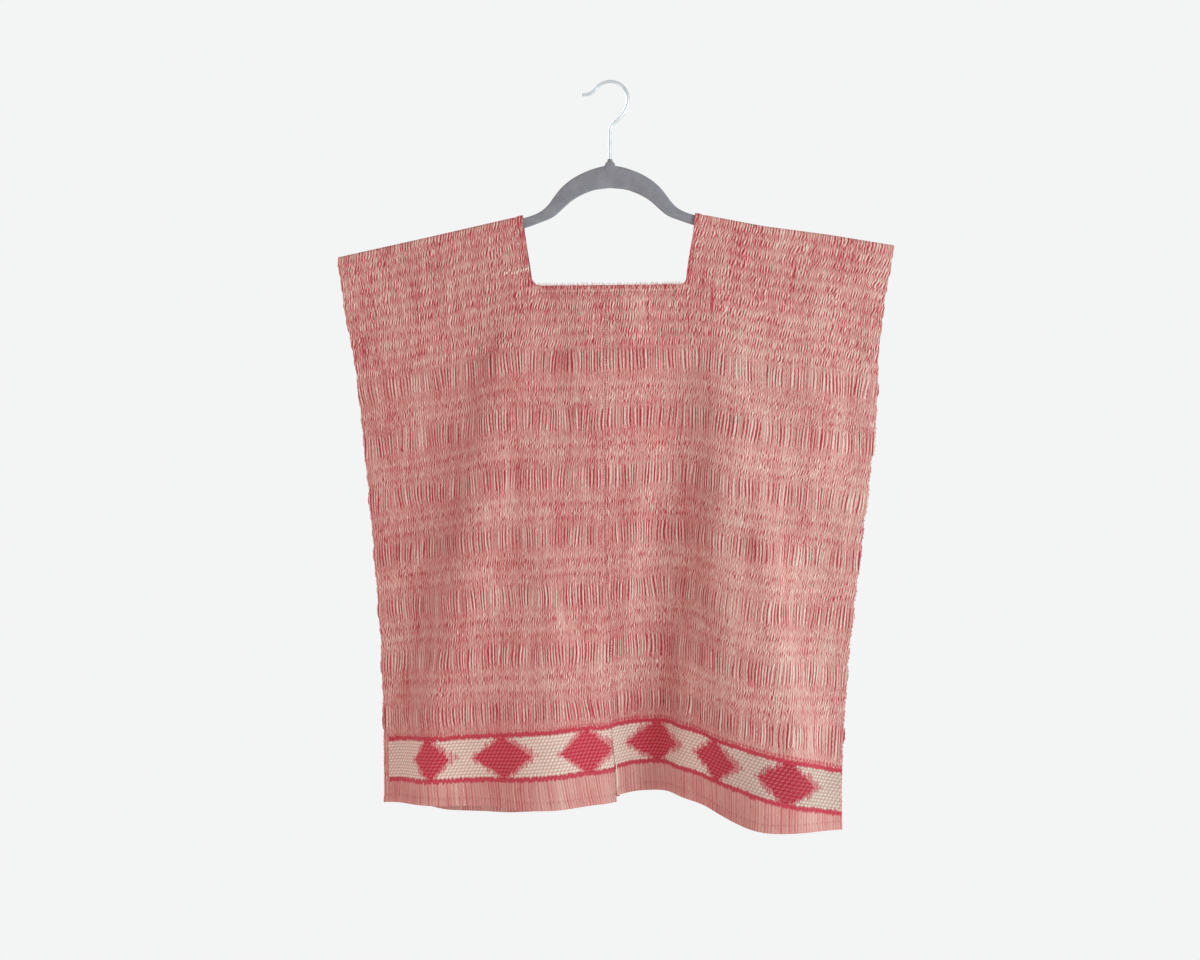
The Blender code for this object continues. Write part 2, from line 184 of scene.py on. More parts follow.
@dataclass(frozen=True)
class HangingForm:
    """True hung shape of the blouse: the tables of the part's source, its seam sewn shut."""

    web_width: float = 0.333
    length: float = 0.69
    seam_gap: float = 0.00004
    neck_half: float = 0.102
    left_neck_drop: float = 0.1165
    right_neck_drop: float = 0.118
    left_neck_round: float = 0.015
    right_neck_round: float = 0.008
    neck_pinch: float = 0.0065
    neck_pinch_wide: float = 0.075
    neck_pinch_high: float = 0.13
    fold_radius: float = 0.0040
    mid_level: float = 0.5
    width_steps: int = 120
    corners_soft_from: float = 0.3
    least_run: float = 0.15
    shoulder: tuple[ShoulderPoint, ...] = table(
        ShoulderPoint,
        (-0.333, -0.2025), (-0.225, -0.1810), (-0.102, -0.1555), (0.102, -0.1558), (0.182, -0.1720),
        (0.257, -0.1830), (0.333, -0.1965),
    )
    left_hem: tuple[HemPoint, ...] = table(
        HemPoint,
        (-0.333, -0.858, -0.858), (-0.300, -0.855, -0.860), (-0.240, -0.852, -0.872),
        (-0.165, -0.850, -0.876), (-0.100, -0.849, -0.869), (-0.040, -0.847, -0.857),
        (0.000, -0.849, -0.850),
    )
    right_hem: tuple[HemPoint, ...] = table(
        HemPoint,
        (0.000, -0.842, -0.840), (0.040, -0.838, -0.838), (0.080, -0.835, -0.836), (0.120, -0.840, -0.840),
        (0.165, -0.853, -0.848), (0.242, -0.865, -0.856), (0.333, -0.865, -0.865),
    )
    levels: tuple[Level, ...] = table(
        Level,
        (0.00, -0.327, -0.003, 0.331, 0.000, 0.000, 0.0040, 0.000, 0.000),
        (0.10, -0.317, -0.003, 0.320, -0.001, 0.003, 0.0060, 0.004, 0.004),
        (0.22, -0.304, -0.004, 0.312, -0.005, 0.008, 0.0050, 0.008, 0.009),
        (0.27, -0.301, -0.004, 0.311, -0.006, 0.010, 0.0013, 0.010, 0.012),
        (0.50, -0.288, -0.005, 0.294, -0.013, 0.021, 0.0013, 0.012, 0.024),
        (0.75, -0.278, 0.002, 0.275, -0.020, 0.032, 0.0013, 0.008, 0.038),
        (0.96, -0.276, 0.007, 0.268, -0.026, 0.041, 0.0013, 0.001, 0.050),
        (1.00, -0.276, 0.008, 0.268, -0.027, 0.042, 0.0030, 0.000, 0.052),
    )
    front_folds: tuple[Fold, ...] = table(
        Fold,
        (0.10, -0.105, -0.185, -0.245, 0.050, 0.095, 0.014, 0.036),
        (0.16, -0.055, -0.095, -0.115, 0.060, 0.125, 0.018, 0.058),
        (0.12, 0.098, 0.092, 0.046, 0.050, 0.085, -0.018, -0.038),
        (0.16, 0.130, 0.185, 0.240, 0.060, 0.120, 0.014, 0.044),
    )
    back_folds: tuple[Fold, ...] = table(
        Fold,
        (0.14, -0.115, -0.150, -0.190, 0.060, 0.100, -0.006, -0.014),
        (0.18, -0.035, -0.050, -0.060, 0.060, 0.090, 0.008, 0.012),
        (0.14, 0.060, 0.080, 0.100, 0.060, 0.110, -0.008, -0.018),
    )

    def neck_drop(self, side: Side) -> float:
        """Share down of the neck's lower edge on one web."""
        return self.left_neck_drop if side is Side.LEFT else self.right_neck_drop

    def neck_round(self, side: Side) -> float:
        """Radius of the neck's lower corner on one web."""
        return self.left_neck_round if side is Side.LEFT else self.right_neck_round

    def level(self, column: str, down: float) -> float:
        """One column of the level table, at the share down of the way to the hem."""
        downs = [level.down for level in self.levels]
        return float(smooth_curve(downs, [getattr(level, column) for level in self.levels], down))

    def fold_depth(self, wall: Wall, across: Grid, down: float) -> Grid:
        """How far forward the hanging folds push the cloth at places across one level."""
        depth = np.zeros_like(across)
        for fold in self.front_folds if wall is Wall.FRONT else self.back_folds:
            if down <= fold.start:
                continue
            stops = (fold.start, self.mid_level, 1.0)
            places = (fold.start_across, fold.mid_across, fold.hem_across)
            middle = smooth_curve(stops, places, down)
            height = smooth_curve(stops, (0.0, fold.mid_depth, fold.hem_depth), down)
            share = (down - fold.start) / (1.0 - fold.start)
            half = fold.start_half + (fold.hem_half - fold.start_half) * share
            depth += height * hump(across - middle, half)
        return depth

    def shoulder_height(self, across: Grid, down: float) -> Grid:
        """Height of the shoulder fold above each place; its corners soften further down."""
        places = [p.across for p in self.shoulder]
        heights = [p.height for p in self.shoulder]
        straight = np.interp(across, places, heights)
        soft = min(down / self.corners_soft_from, 1.0)
        return straight + (smooth_curve(places, heights, across) - straight) * soft

    def line(self, side: Side, wall: Wall, down: float, across: Grid) -> Grid:
        """Middle of the cloth along one level.

        Args:
            side: Which web.
            wall: Its front or its back.
            down: The level, as a share of the way to the hem.
            across: Distances from the centre seam, all of them positive.

        Returns:
            An X, Y, Z row for each distance.
        """
        fine = np.linspace(0.0, self.web_width, self.width_steps)
        sign, signed = side.value, side.value * fine
        edge, seam, left, right, half_gap, bow = (
            self.level(column, down)
            for column in (
                side.name.lower(), "seam", "left_forward", "right_forward", "edge_half",
                f"{wall.name.lower()}_bow",
            )
        )
        seam += sign * 0.5 * self.seam_gap

        share = signed / self.web_width
        forward = 0.5 * (left + right + (right - left) * share)
        inner_half = self.fold_radius + (half_gap - self.fold_radius) * share**2
        forward += wall.value * (inner_half + bow * (1.0 - share**2))
        forward += self.fold_depth(wall, signed, down)

        hem_table = self.left_hem if side is Side.LEFT else self.right_hem
        hem_heights = [getattr(point, wall.name.lower()) for point in hem_table]
        hem = smooth_curve([point.across for point in hem_table], hem_heights, signed)
        top = self.shoulder_height(signed, down) - self.fold_radius
        height = top + (hem - top) * down

        # The cloth keeps its width: what rises or comes forward takes as much from its X.
        rise = np.gradient(height, fine) ** 2 + np.gradient(forward, fine) ** 2
        run = np.sqrt(np.clip(1.0 - rise, self.least_run, 1.0))
        reach = np.concatenate(([0.0], np.cumsum(0.5 * (run[1:] + run[:-1]) * np.diff(fine))))
        x = seam + (edge - seam) * reach / reach[-1]
        pinch = hump(fine - self.neck_half, self.neck_pinch_wide)
        x -= sign * self.neck_pinch * pinch * hump(down - self.neck_drop(side), self.neck_pinch_high)
        return np.stack([np.interp(across, fine, one) for one in (x, -forward, height)], axis=-1)


# ---- weave and relief
class Repeat(NamedTuple):
    """Bands that repeat down the blouse, each of a half height round its middle."""

    first: float
    pitch: float
    count: int
    half: float

    def middles(self) -> list[float]:
        """Share down of each band's middle."""
        return [self.first + number * self.pitch for number in range(self.count)]


@dataclass(frozen=True)
class WeavePlan:
    """Where the kinds of weave lie, as shares down the blouse."""

    bands: Repeat = Repeat(0.2465, 0.0992, 7, 0.0165)
    pairs: Repeat = Repeat(0.3022, 0.0974, 6, 0.023)
    yoke: Repeat = Repeat(0.0035, 0.0212, 11, 0.02)
    yoke_end: float = 0.222
    row_apart: float = 0.0123
    row_half: float = 0.0052
    band_spread: float = 1.7
    row_spread: float = 1.4

    def loose(self, down: Grid) -> Grid:
        """Share of loose warp at each place down: 1 in the middle of a loose band."""
        half = self.band_spread * self.bands.half
        return np.max([hump(down - middle, half) for middle in self.bands.middles()], axis=0)

    def rows(self, down: Grid) -> Grid:
        """Share of gauze row at each place down: 1 in the middle of a row."""
        half = self.row_spread * self.row_half
        rows = [pair + apart for pair in self.pairs.middles() for apart in (-self.row_apart, self.row_apart)]
        return np.max([hump(down - row, half) for row in rows], axis=0)


class DiamondPlace(NamedTuple):
    """Place across of a diamond's middle, and half of its width."""

    middle: float
    half: float


class BowPoint(NamedTuple):
    """How far down, as a share of the length, the border's picks bow at one place across."""

    across: float
    shift: float


@dataclass(frozen=True)
class BorderLayout:
    """Place and size of the brocaded border on one web."""

    diamonds: tuple[DiamondPlace, ...]
    bow: tuple[BowPoint, ...]
    margin_start: float
    margin_end: float
    half_share: float
    middle: float = 0.917
    line_half: float = 0.0028
    bow_from: float = 0.80
    bow_to: float = 0.885
    back_bow: float = 0.4

    def bowed(self, wall: Wall, across: Grid, down: Grid) -> Grid:
        """Share down in the weave's own picks, which bow near the border.

        Args:
            wall: Front or back.
            across: Signed places across.
            down: Shares down, of the same shape.

        Returns:
            The share down that each place has among the picks.
        """
        shift = smooth_curve([p.across for p in self.bow], [p.shift for p in self.bow], across)
        part = np.clip((down - self.bow_from) / (self.bow_to - self.bow_from), 0.0, 1.0)
        part = part * part * (3.0 - 2.0 * part)
        return down - shift * part * (1.0 if wall is Wall.FRONT else self.back_bow)


class Crease(NamedTuple):
    """A soft crease from one place to another; a positive depth is a ridge."""

    across_top: float
    down_top: float
    across_foot: float
    down_foot: float
    half_width: float
    depth: float
    bow: float


@dataclass(frozen=True)
class ClothRelief:
    """Creases, puckers and ruffled edges that the cloth has on its hanging form."""

    form: HangingForm
    plan: WeavePlan
    neck_turn_wide: float = 0.0085
    hem_turn_wide: float = 0.0085
    turn_raise: float = 0.0006
    turn_groove: float = 0.0005
    band_swell: float = 0.0011
    band_crimp: float = 0.00042
    row_sink: float = 0.0005
    crumple: float = 0.0011
    selvedge_swell: float = 0.0024
    selvedge_ruffle: float = 0.0012
    selvedge_reach: float = 0.030
    left_ruffle: float = 0.90
    ruffle_share: float = 0.45
    border_calm: float = 0.8
    border_from: float = 0.865
    border_soft: float = 0.02
    loose_middle: float = 0.35
    held_reach: float = 0.024
    held_least: float = 0.25
    calm_to: float = 0.08
    crimp_wave: float = 690.0
    back_phase: float = 1.7
    groove_place: float = 1.1
    front_creases: tuple[Crease, ...] = table(
        Crease,
        (-0.104, 0.07, -0.262, 0.90, 0.042, 0.0055, 0.014),
        (-0.160, 0.16, -0.310, 0.80, 0.034, -0.0016, 0.012),
        (-0.215, 0.22, -0.300, 0.66, 0.040, -0.0034, 0.0),
        (-0.098, 0.44, -0.112, 0.97, 0.050, -0.0080, 0.0),
        (-0.168, 0.44, -0.192, 0.97, 0.050, 0.0064, 0.0),
        (-0.300, 0.10, -0.310, 0.50, 0.032, 0.0014, 0.0),
        (-0.222, 0.00, -0.246, 0.16, 0.016, 0.0012, 0.0),
        (-0.060, 0.14, -0.075, 0.60, 0.040, -0.0060, 0.0),
        (-0.050, 0.42, -0.050, 0.92, 0.036, -0.0044, 0.0),
        (0.000, 0.42, 0.000, 0.92, 0.030, -0.0030, 0.0),
        (0.030, 0.20, 0.020, 0.92, 0.040, -0.0060, 0.0),
        (0.060, 0.10, 0.040, 0.50, 0.035, -0.0046, 0.0),
        (0.086, 0.12, 0.072, 0.95, 0.042, -0.0076, -0.008),
        (0.202, 0.42, 0.288, 0.95, 0.031, 0.0076, -0.006),
        (0.245, 0.03, 0.268, 0.52, 0.032, 0.0022, 0.002),
        (0.295, 0.06, 0.312, 0.46, 0.030, -0.0034, 0.0),
        (0.168, 0.12, 0.176, 0.48, 0.020, 0.0012, 0.002),
        (0.236, 0.545, 0.318, 0.590, 0.011, -0.0020, 0.002),
        (0.262, 0.400, 0.328, 0.420, 0.010, -0.0013, 0.001),
        (-0.255, 0.70, -0.255, 1.04, 0.062, 0.0050, 0.0),
        (-0.105, 0.66, -0.105, 1.04, 0.056, -0.0034, 0.0),
        (0.015, 0.64, 0.018, 1.04, 0.050, -0.0054, 0.0),
        (0.090, 0.64, 0.088, 1.04, 0.056, 0.0054, 0.0),
        (0.205, 0.66, 0.208, 1.04, 0.034, -0.0022, 0.0),
        (0.274, 0.69, 0.272, 1.04, 0.042, 0.0052, 0.0),
    )
    back_creases: tuple[Crease, ...] = table(
        Crease,
        (-0.104, 0.07, -0.170, 0.84, 0.018, 0.0036, 0.010),
        (-0.070, 0.18, -0.096, 0.76, 0.020, -0.0032, 0.004),
        (-0.290, 0.27, -0.225, 0.62, 0.022, -0.0026, -0.008),
        (-0.222, 0.00, -0.240, 0.17, 0.014, 0.0016, 0.0),
        (0.020, 0.24, 0.030, 0.86, 0.018, 0.0026, 0.004),
        (0.103, 0.07, 0.158, 0.84, 0.018, 0.0036, -0.008),
        (0.150, 0.34, 0.214, 0.90, 0.024, -0.0036, 0.006),
        (0.292, 0.27, 0.246, 0.58, 0.020, -0.0024, 0.008),
        (0.222, 0.00, 0.242, 0.16, 0.014, 0.0016, 0.0),
    )

    def crease_rise(self, wall: Wall, across: Grid, down: Grid) -> Grid:
        """How far the creases lift the cloth off its form.

        Args:
            wall: Front or back.
            across: Signed places across.
            down: Shares down, of the same shape.

        Returns:
            Rise in metres, outwards.
        """
        rise = np.zeros_like(across)
        for crease in self.front_creases if wall is Wall.FRONT else self.back_creases:
            run_x = crease.across_foot - crease.across_top
            run_y = (crease.down_foot - crease.down_top) * self.form.length
            long = math.hypot(run_x, run_y)
            from_x = across - crease.across_top
            from_y = (down - crease.down_top) * self.form.length
            along = (from_x * run_x + from_y * run_y) / long**2
            aside = (from_x * run_y - from_y * run_x) / long
            inside = np.clip(along, 0.0, 1.0)
            aside = aside - 4.0 * crease.bow * inside * (1.0 - inside)
            taper = np.sin(math.pi * inside) ** 0.7
            rise += crease.depth * taper * hump(aside, crease.half_width)
        return rise

    def swell(self, wall: Wall, across: Grid, down: Grid) -> Grid:
        """Rise of the loose bands, gauze rows and small crumples, in metres."""
        loose = self.plan.loose(down)
        phase = self.back_phase * wall.value
        uneven = 0.6 + 0.4 * ripple(across, down, 31.0, 23.0, phase)
        crimp = np.sin(across * self.crimp_wave + 1.6 * ripple(across, down, 97.0, 61.0, phase))
        broad = np.sin(across * 57.0 + 2.1 * np.sin(down * 21.0 + phase))
        broad = broad * np.sin(down * 43.0 + 1.7 * np.sin(across * 33.0 - phase))
        crumple = broad + 0.5 * ripple(across, down, 121.0, 17.0, phase) * ripple(down, across, 88.0, -29.0)
        calm = np.clip(down / self.calm_to, 0.0, 1.0)
        return calm * (
            self.band_swell * loose * uneven
            + self.band_crimp * loose * crimp
            - self.row_sink * self.plan.rows(down)
            + self.crumple * 0.5 * crumple
        )

    def lift(self, wall: Wall, across: Grid, down: Grid) -> Grid:
        """Rise of one wall in metres, held back at the sides, where the walls nearly meet."""
        from_side = np.clip((self.form.web_width - np.abs(across)) / self.held_reach, 0.0, 1.0)
        held = self.held_least + (1.0 - self.held_least) * from_side
        return held * (self.crease_rise(wall, across, down) + self.swell(wall, across, down))

    def turned(self, side: Side, across: Grid, down: Grid) -> Grid:
        """Rise of the turned neck edge and hem, with the groove that their sewing pulls in."""
        from_neck = np.abs(across) - self.form.neck_half
        below_neck = (down - self.form.neck_drop(side)) * self.form.length
        beside = np.where(below_neck < 0.0, from_neck, np.hypot(np.maximum(from_neck, 0.0), below_neck))
        above_hem = (1.0 - down) * self.form.length
        rise = np.zeros_like(across)
        for distance, wide in ((beside, self.neck_turn_wide), (above_hem, self.hem_turn_wide)):
            strip = np.clip((wide - distance) / (0.3 * wide) + 0.5, 0.0, 1.0)
            groove = hump(distance - self.groove_place * wide, 0.5 * wide)
            rise += self.turn_raise * strip - self.turn_groove * groove
        return rise

    def edge_shift(self, across: Grid, down: Grid) -> Grid:
        """How far the selvedge is ruffled outwards in the cloth's own plane."""
        reach = np.clip((np.abs(across) - self.form.web_width) / self.selvedge_reach + 1.0, 0.0, 1.0)
        turns = down * self.form.length
        side = np.sign(across)
        ruffle = ripple(turns, side, 260.0, 1.0) + 0.7 * ripple(turns, side, 610.0, 2.3)
        ruffle += 0.6 * ripple(turns, side, 97.0, -1.0)
        uneven = 0.75 + 0.25 * ripple(turns, side, 38.0, 4.0)
        swell = self.selvedge_swell * (self.plan.loose(down) - self.loose_middle) * uneven
        strength = np.where(across < 0.0, self.left_ruffle, 1.0)
        on_border = np.clip((down - self.border_from) / self.border_soft, 0.0, 1.0)
        strength = strength * (1.0 - self.border_calm * on_border)
        return strength * reach**2 * (swell + self.ruffle_share * self.selvedge_ruffle * ruffle)


# ---- meshes
def make_object(
    name: str, verts: Grid, faces: Sequence[Sequence[int]], sharp: float | None = 50.0
) -> Thing:
    """Mesh object of the given name, smooth but for edges over an angle.

    Args:
        name: Name of the object and its mesh.
        verts: An X, Y, Z row for each vertex.
        faces: Vertex numbers of each face, turned outwards.
        sharp: Angle in degrees over which an edge stays sharp, or None for none.

    Returns:
        The object, in the scene's collection.
    """
    mesh = bpy.data.meshes.new(name)
    mesh.from_pydata([tuple(v) for v in verts], [], [tuple(f) for f in faces])
    mesh.update()
    mesh.shade_smooth()
    if sharp is not None:
        mesh.set_sharp_from_angle(angle=math.radians(sharp))
    thing = bpy.data.objects.new(name, mesh)
    bpy.context.scene.collection.objects.link(thing)
    return thing


def dress(thing: Thing, material: bpy.types.Material) -> Thing:
    """Give a piece its material and the body it rides on, and report it."""
    thing.data.materials.clear()
    thing.data.materials.append(material)
    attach(thing, BODY)
    LOG.info("%s: %d faces, %s", thing.name, len(thing.data.polygons), material.name)
    return thing


def tubes(name: str, path: Grid, radii: Sequence[float], up: Grid, sides: int) -> Thing:
    """Object of many closed tubes, one along each path.

    Args:
        name: The object's name.
        path: Points, shaped (runs, stations, 3).
        radii: Radius at each station.
        up: Direction for each run, shaped (runs, 3), roughly square to its path.
        sides: Points in a ring.

    Returns:
        The object.
    """
    runs, stations = path.shape[:2]
    along = unit(np.gradient(path, axis=1))
    side = unit(np.cross(along, up[:, None, :]))
    top = np.cross(side, along)
    ring = np.arange(sides)
    angles = ring * 2.0 * math.pi / sides
    round_ = side[:, :, None] * np.cos(angles)[:, None] + top[:, :, None] * np.sin(angles)[:, None]
    rings = path[:, :, None] + round_ * np.asarray(radii, float)[:, None, None]
    after = (ring + 1) % sides
    faces: list[tuple[int, ...]] = []
    for run in range(runs):
        start = a = run * stations * sides
        for _ in range(stations - 1):
            faces.extend(zip(a + ring, a + sides + ring, a + sides + after, a + after))
            a += sides
        faces += [tuple(start + ring), tuple(a + ring[::-1])]
    return make_object(name, rings.reshape(-1, 3), faces, None)


def two_runs(middle: float, end: float, cell: float, length: float = 1.0) -> Grid:
    """Places from 0 to a middle and on to an end, in even steps of about a cell; length is that of 1."""
    before, after = (max(2, round(run * length / cell)) for run in (middle, end - middle))
    first = np.linspace(0.0, middle, before, endpoint=False)
    return np.concatenate((first, np.linspace(middle, end, after + 1)))


def by_wall(path: Grid, values: Callable[[Wall], Grid]) -> Grid:
    """Values of the front wall where the signed path is at the front, and else of the back."""
    return np.where(path >= 0.0, values(Wall.FRONT), values(Wall.BACK))


@dataclass
class Web:
    """One woven length over the shoulder, front and back, as one thin cloth."""

    side: Side
    form: HangingForm
    relief: ClothRelief
    border: BorderLayout
    thick: float = 0.0016
    cell: float = 0.0032
    fold_steps: int = 8
    cut_length: float = 1.38
    columns: Grid = field(init=False)
    rows: Grid = field(init=False)

    def __post_init__(self) -> None:
        """Lay out the grid's columns and rows, with a line of each along the neck's edges."""
        form = self.form
        self.columns = two_runs(form.neck_half, form.web_width, self.cell)
        self.rows = two_runs(form.neck_drop(self.side), 1.0, self.cell, form.length)

    @property
    def name(self) -> str:
        """Name of the web's object."""
        return f"{self.side.name.lower()}_web_cloth"

    def form_grid(self) -> tuple[Grid, Grid, Grid]:
        """The cloth's middle on its form, from the back's hem over to the front's.

        Returns:
            Points; the signed path from the shoulder's crest, minus to the back; and the
            share down, for each row.
        """
        form, rows = self.form, self.rows
        back = [form.line(self.side, Wall.BACK, down, self.columns) for down in rows[::-1]]
        front = [form.line(self.side, Wall.FRONT, down, self.columns) for down in rows]
        turn = []
        for step in range(1, self.fold_steps):
            angle = math.pi * step / self.fold_steps
            arc = front[0].copy()
            arc[:, 1] = form.fold_radius * math.cos(angle)
            arc[:, 2] = front[0][:, 2] + form.fold_radius * math.sin(angle)
            turn.append(arc)
        quarter = 0.5 * math.pi * form.fold_radius
        bend = np.linspace(-quarter, quarter, self.fold_steps + 1)[1:-1]
        path = np.concatenate((-(rows[::-1] * form.length + quarter), bend, rows * form.length + quarter))
        down = np.concatenate((rows[::-1], np.zeros(len(turn)), rows))
        return np.array(back + turn + front), path, down

    def neck_shift(self, across: Grid, down: Grid) -> tuple[Grid, Grid]:
        """Shift in the cloth's plane that rounds the neck's lower corners, in metres."""
        form = self.form
        corner_x, corner_y = form.neck_half, form.neck_drop(self.side) * form.length
        x, y = across - corner_x, down * form.length - corner_y
        radius = form.neck_round(self.side)
        # A place's nearest point on the neck's edge, by its distance from the corner.
        on_side = np.clip(-y, 0.0, radius) * (np.abs(x) <= np.abs(y))
        on_foot = np.clip(-x, 0.0, radius) * (np.abs(x) > np.abs(y))
        angle = 0.25 * math.pi * (1.0 - on_side / radius + on_foot / radius)
        target_x = corner_x - radius + radius * np.cos(angle)
        target_y = corner_y - radius + radius * np.sin(angle)
        from_x, from_y = corner_x - on_foot, corner_y - on_side
        near = hump(np.maximum(np.maximum(x, 0.0), np.maximum(y, 0.0)), 2.5 * radius)
        near = near * (np.maximum(-x, -y) <= radius) * (np.minimum(x, y) <= radius)
        return near * (target_x - from_x), near * (target_y - from_y)

    def grid(self) -> tuple[Grid, Grid, Grid, Grid, Grid]:
        """Middle of the cloth with its relief.

        Returns:
            Points, unit normals, signed places across, signed path and share down, each as
            a grid.
        """
        points, path, down = self.form_grid()
        sign = self.side.value
        spread = (sign * self.columns, path[:, None], down[:, None])
        across, path, down = (np.broadcast_to(one, points.shape[:2]) for one in spread)
        along = np.gradient(points, axis=0)
        aside = np.gradient(points, axis=1)
        normals = unit(np.cross(along, aside)) * sign
        over = unit(aside) * sign
        ahead = unit(along) * np.sign(path)[..., None]

        shift_x, shift_y = self.neck_shift(np.abs(across), down)
        shift_x = shift_x + self.relief.edge_shift(across, down)
        rise = by_wall(path, lambda wall: self.relief.lift(wall, across, down))
        points = points + over * (shift_x * sign)[..., None] + ahead * shift_y[..., None]
        points = points + normals * rise[..., None]
        across = across + sign * shift_x
        path = path + np.sign(path) * shift_y
        down = down + shift_y / self.form.length
        normals = unit(np.cross(np.gradient(points, axis=0), np.gradient(points, axis=1))) * sign
        return points, normals, across, path, down

    def build(self) -> Thing:
        """The web's closed cloth, with its half of the neck cut out."""
        points, normals, across, path, down = self.grid()
        row_down = np.concatenate((self.rows[::-1], np.zeros(self.fold_steps - 1), self.rows))
        edge = 1e-9
        row_cut = np.maximum(row_down[:-1], row_down[1:]) <= self.form.neck_drop(self.side) + edge
        column_cut = self.columns[1:] <= self.form.neck_half + edge
        keep = ~(row_cut[:, None] & column_cut[None, :])
        raised = self.relief.turned(self.side, across, down)
        outer = points + normals * (0.5 * self.thick + raised)[..., None]
        inner = points - normals * (0.5 * self.thick)
        verts = np.concatenate((outer.reshape(-1, 3), inner.reshape(-1, 3)))
        faces = self.shell_faces(keep)
        if self.side is Side.LEFT:
            faces = faces[:, ::-1]
        used = np.unique(faces)
        place = np.zeros(len(verts), int)
        place[used] = np.arange(len(used))
        thing = make_object(self.name, verts[used], place[faces], 60.0)
        picks = by_wall(path, lambda wall: self.border.bowed(wall, across, down))
        spot = np.stack((across, path, picks), axis=-1).reshape(-1, 3)
        spot = np.concatenate((spot, spot))[used]
        marks = thing.data.attributes.new(WEAVE_PLACE, "FLOAT_VECTOR", "POINT")
        marks.data.foreach_set("vector", spot.astype(np.float32).ravel())
        return thing

    def shell_faces(self, keep: Grid) -> Grid:
        """Faces of a closed shell between two grids of points, the outer one first."""
        rows, columns = keep.shape[0] + 1, keep.shape[1] + 1
        shift = rows * columns
        row, column = np.nonzero(keep)
        a = row * columns + column
        b, d, e = a + 1, a + columns, a + columns + 1
        parts = [np.stack((a, d, e, b), -1), np.stack((a, b, e, d), -1) + shift]
        closed = np.pad(keep, 1)
        for before, after, next_row, next_column in (
            (a, b, -1, 0), (e, d, 1, 0), (d, a, 0, -1), (b, e, 0, 1),
        ):
            bare = ~closed[row + 1 + next_row, column + 1 + next_column]
            first, second = before[bare], after[bare]
            parts.append(np.stack((first, second, second + shift, first + shift), -1))
        return np.concatenate(parts)

    def declare(self, thing: Thing, with_pieces: Sequence[Thing]) -> None:
        """Hide the model's pieces that the cloth stands for."""
        form = self.form
        neck = form.neck_half * 2.0 * form.neck_drop(self.side) * form.length
        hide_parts(*WEB_NODES[self.side])


# ---- shader bench
def paint(red: int, green: int, blue: int) -> Color:
    """Shader colour from screen values of 0 to 255."""
    out = []
    for part in (red, green, blue):
        share = part / 255.0
        out.append(share / 12.92 if share <= 0.04045 else ((share + 0.055) / 1.055) ** 2.4)
    return (out[0], out[1], out[2], 1.0)


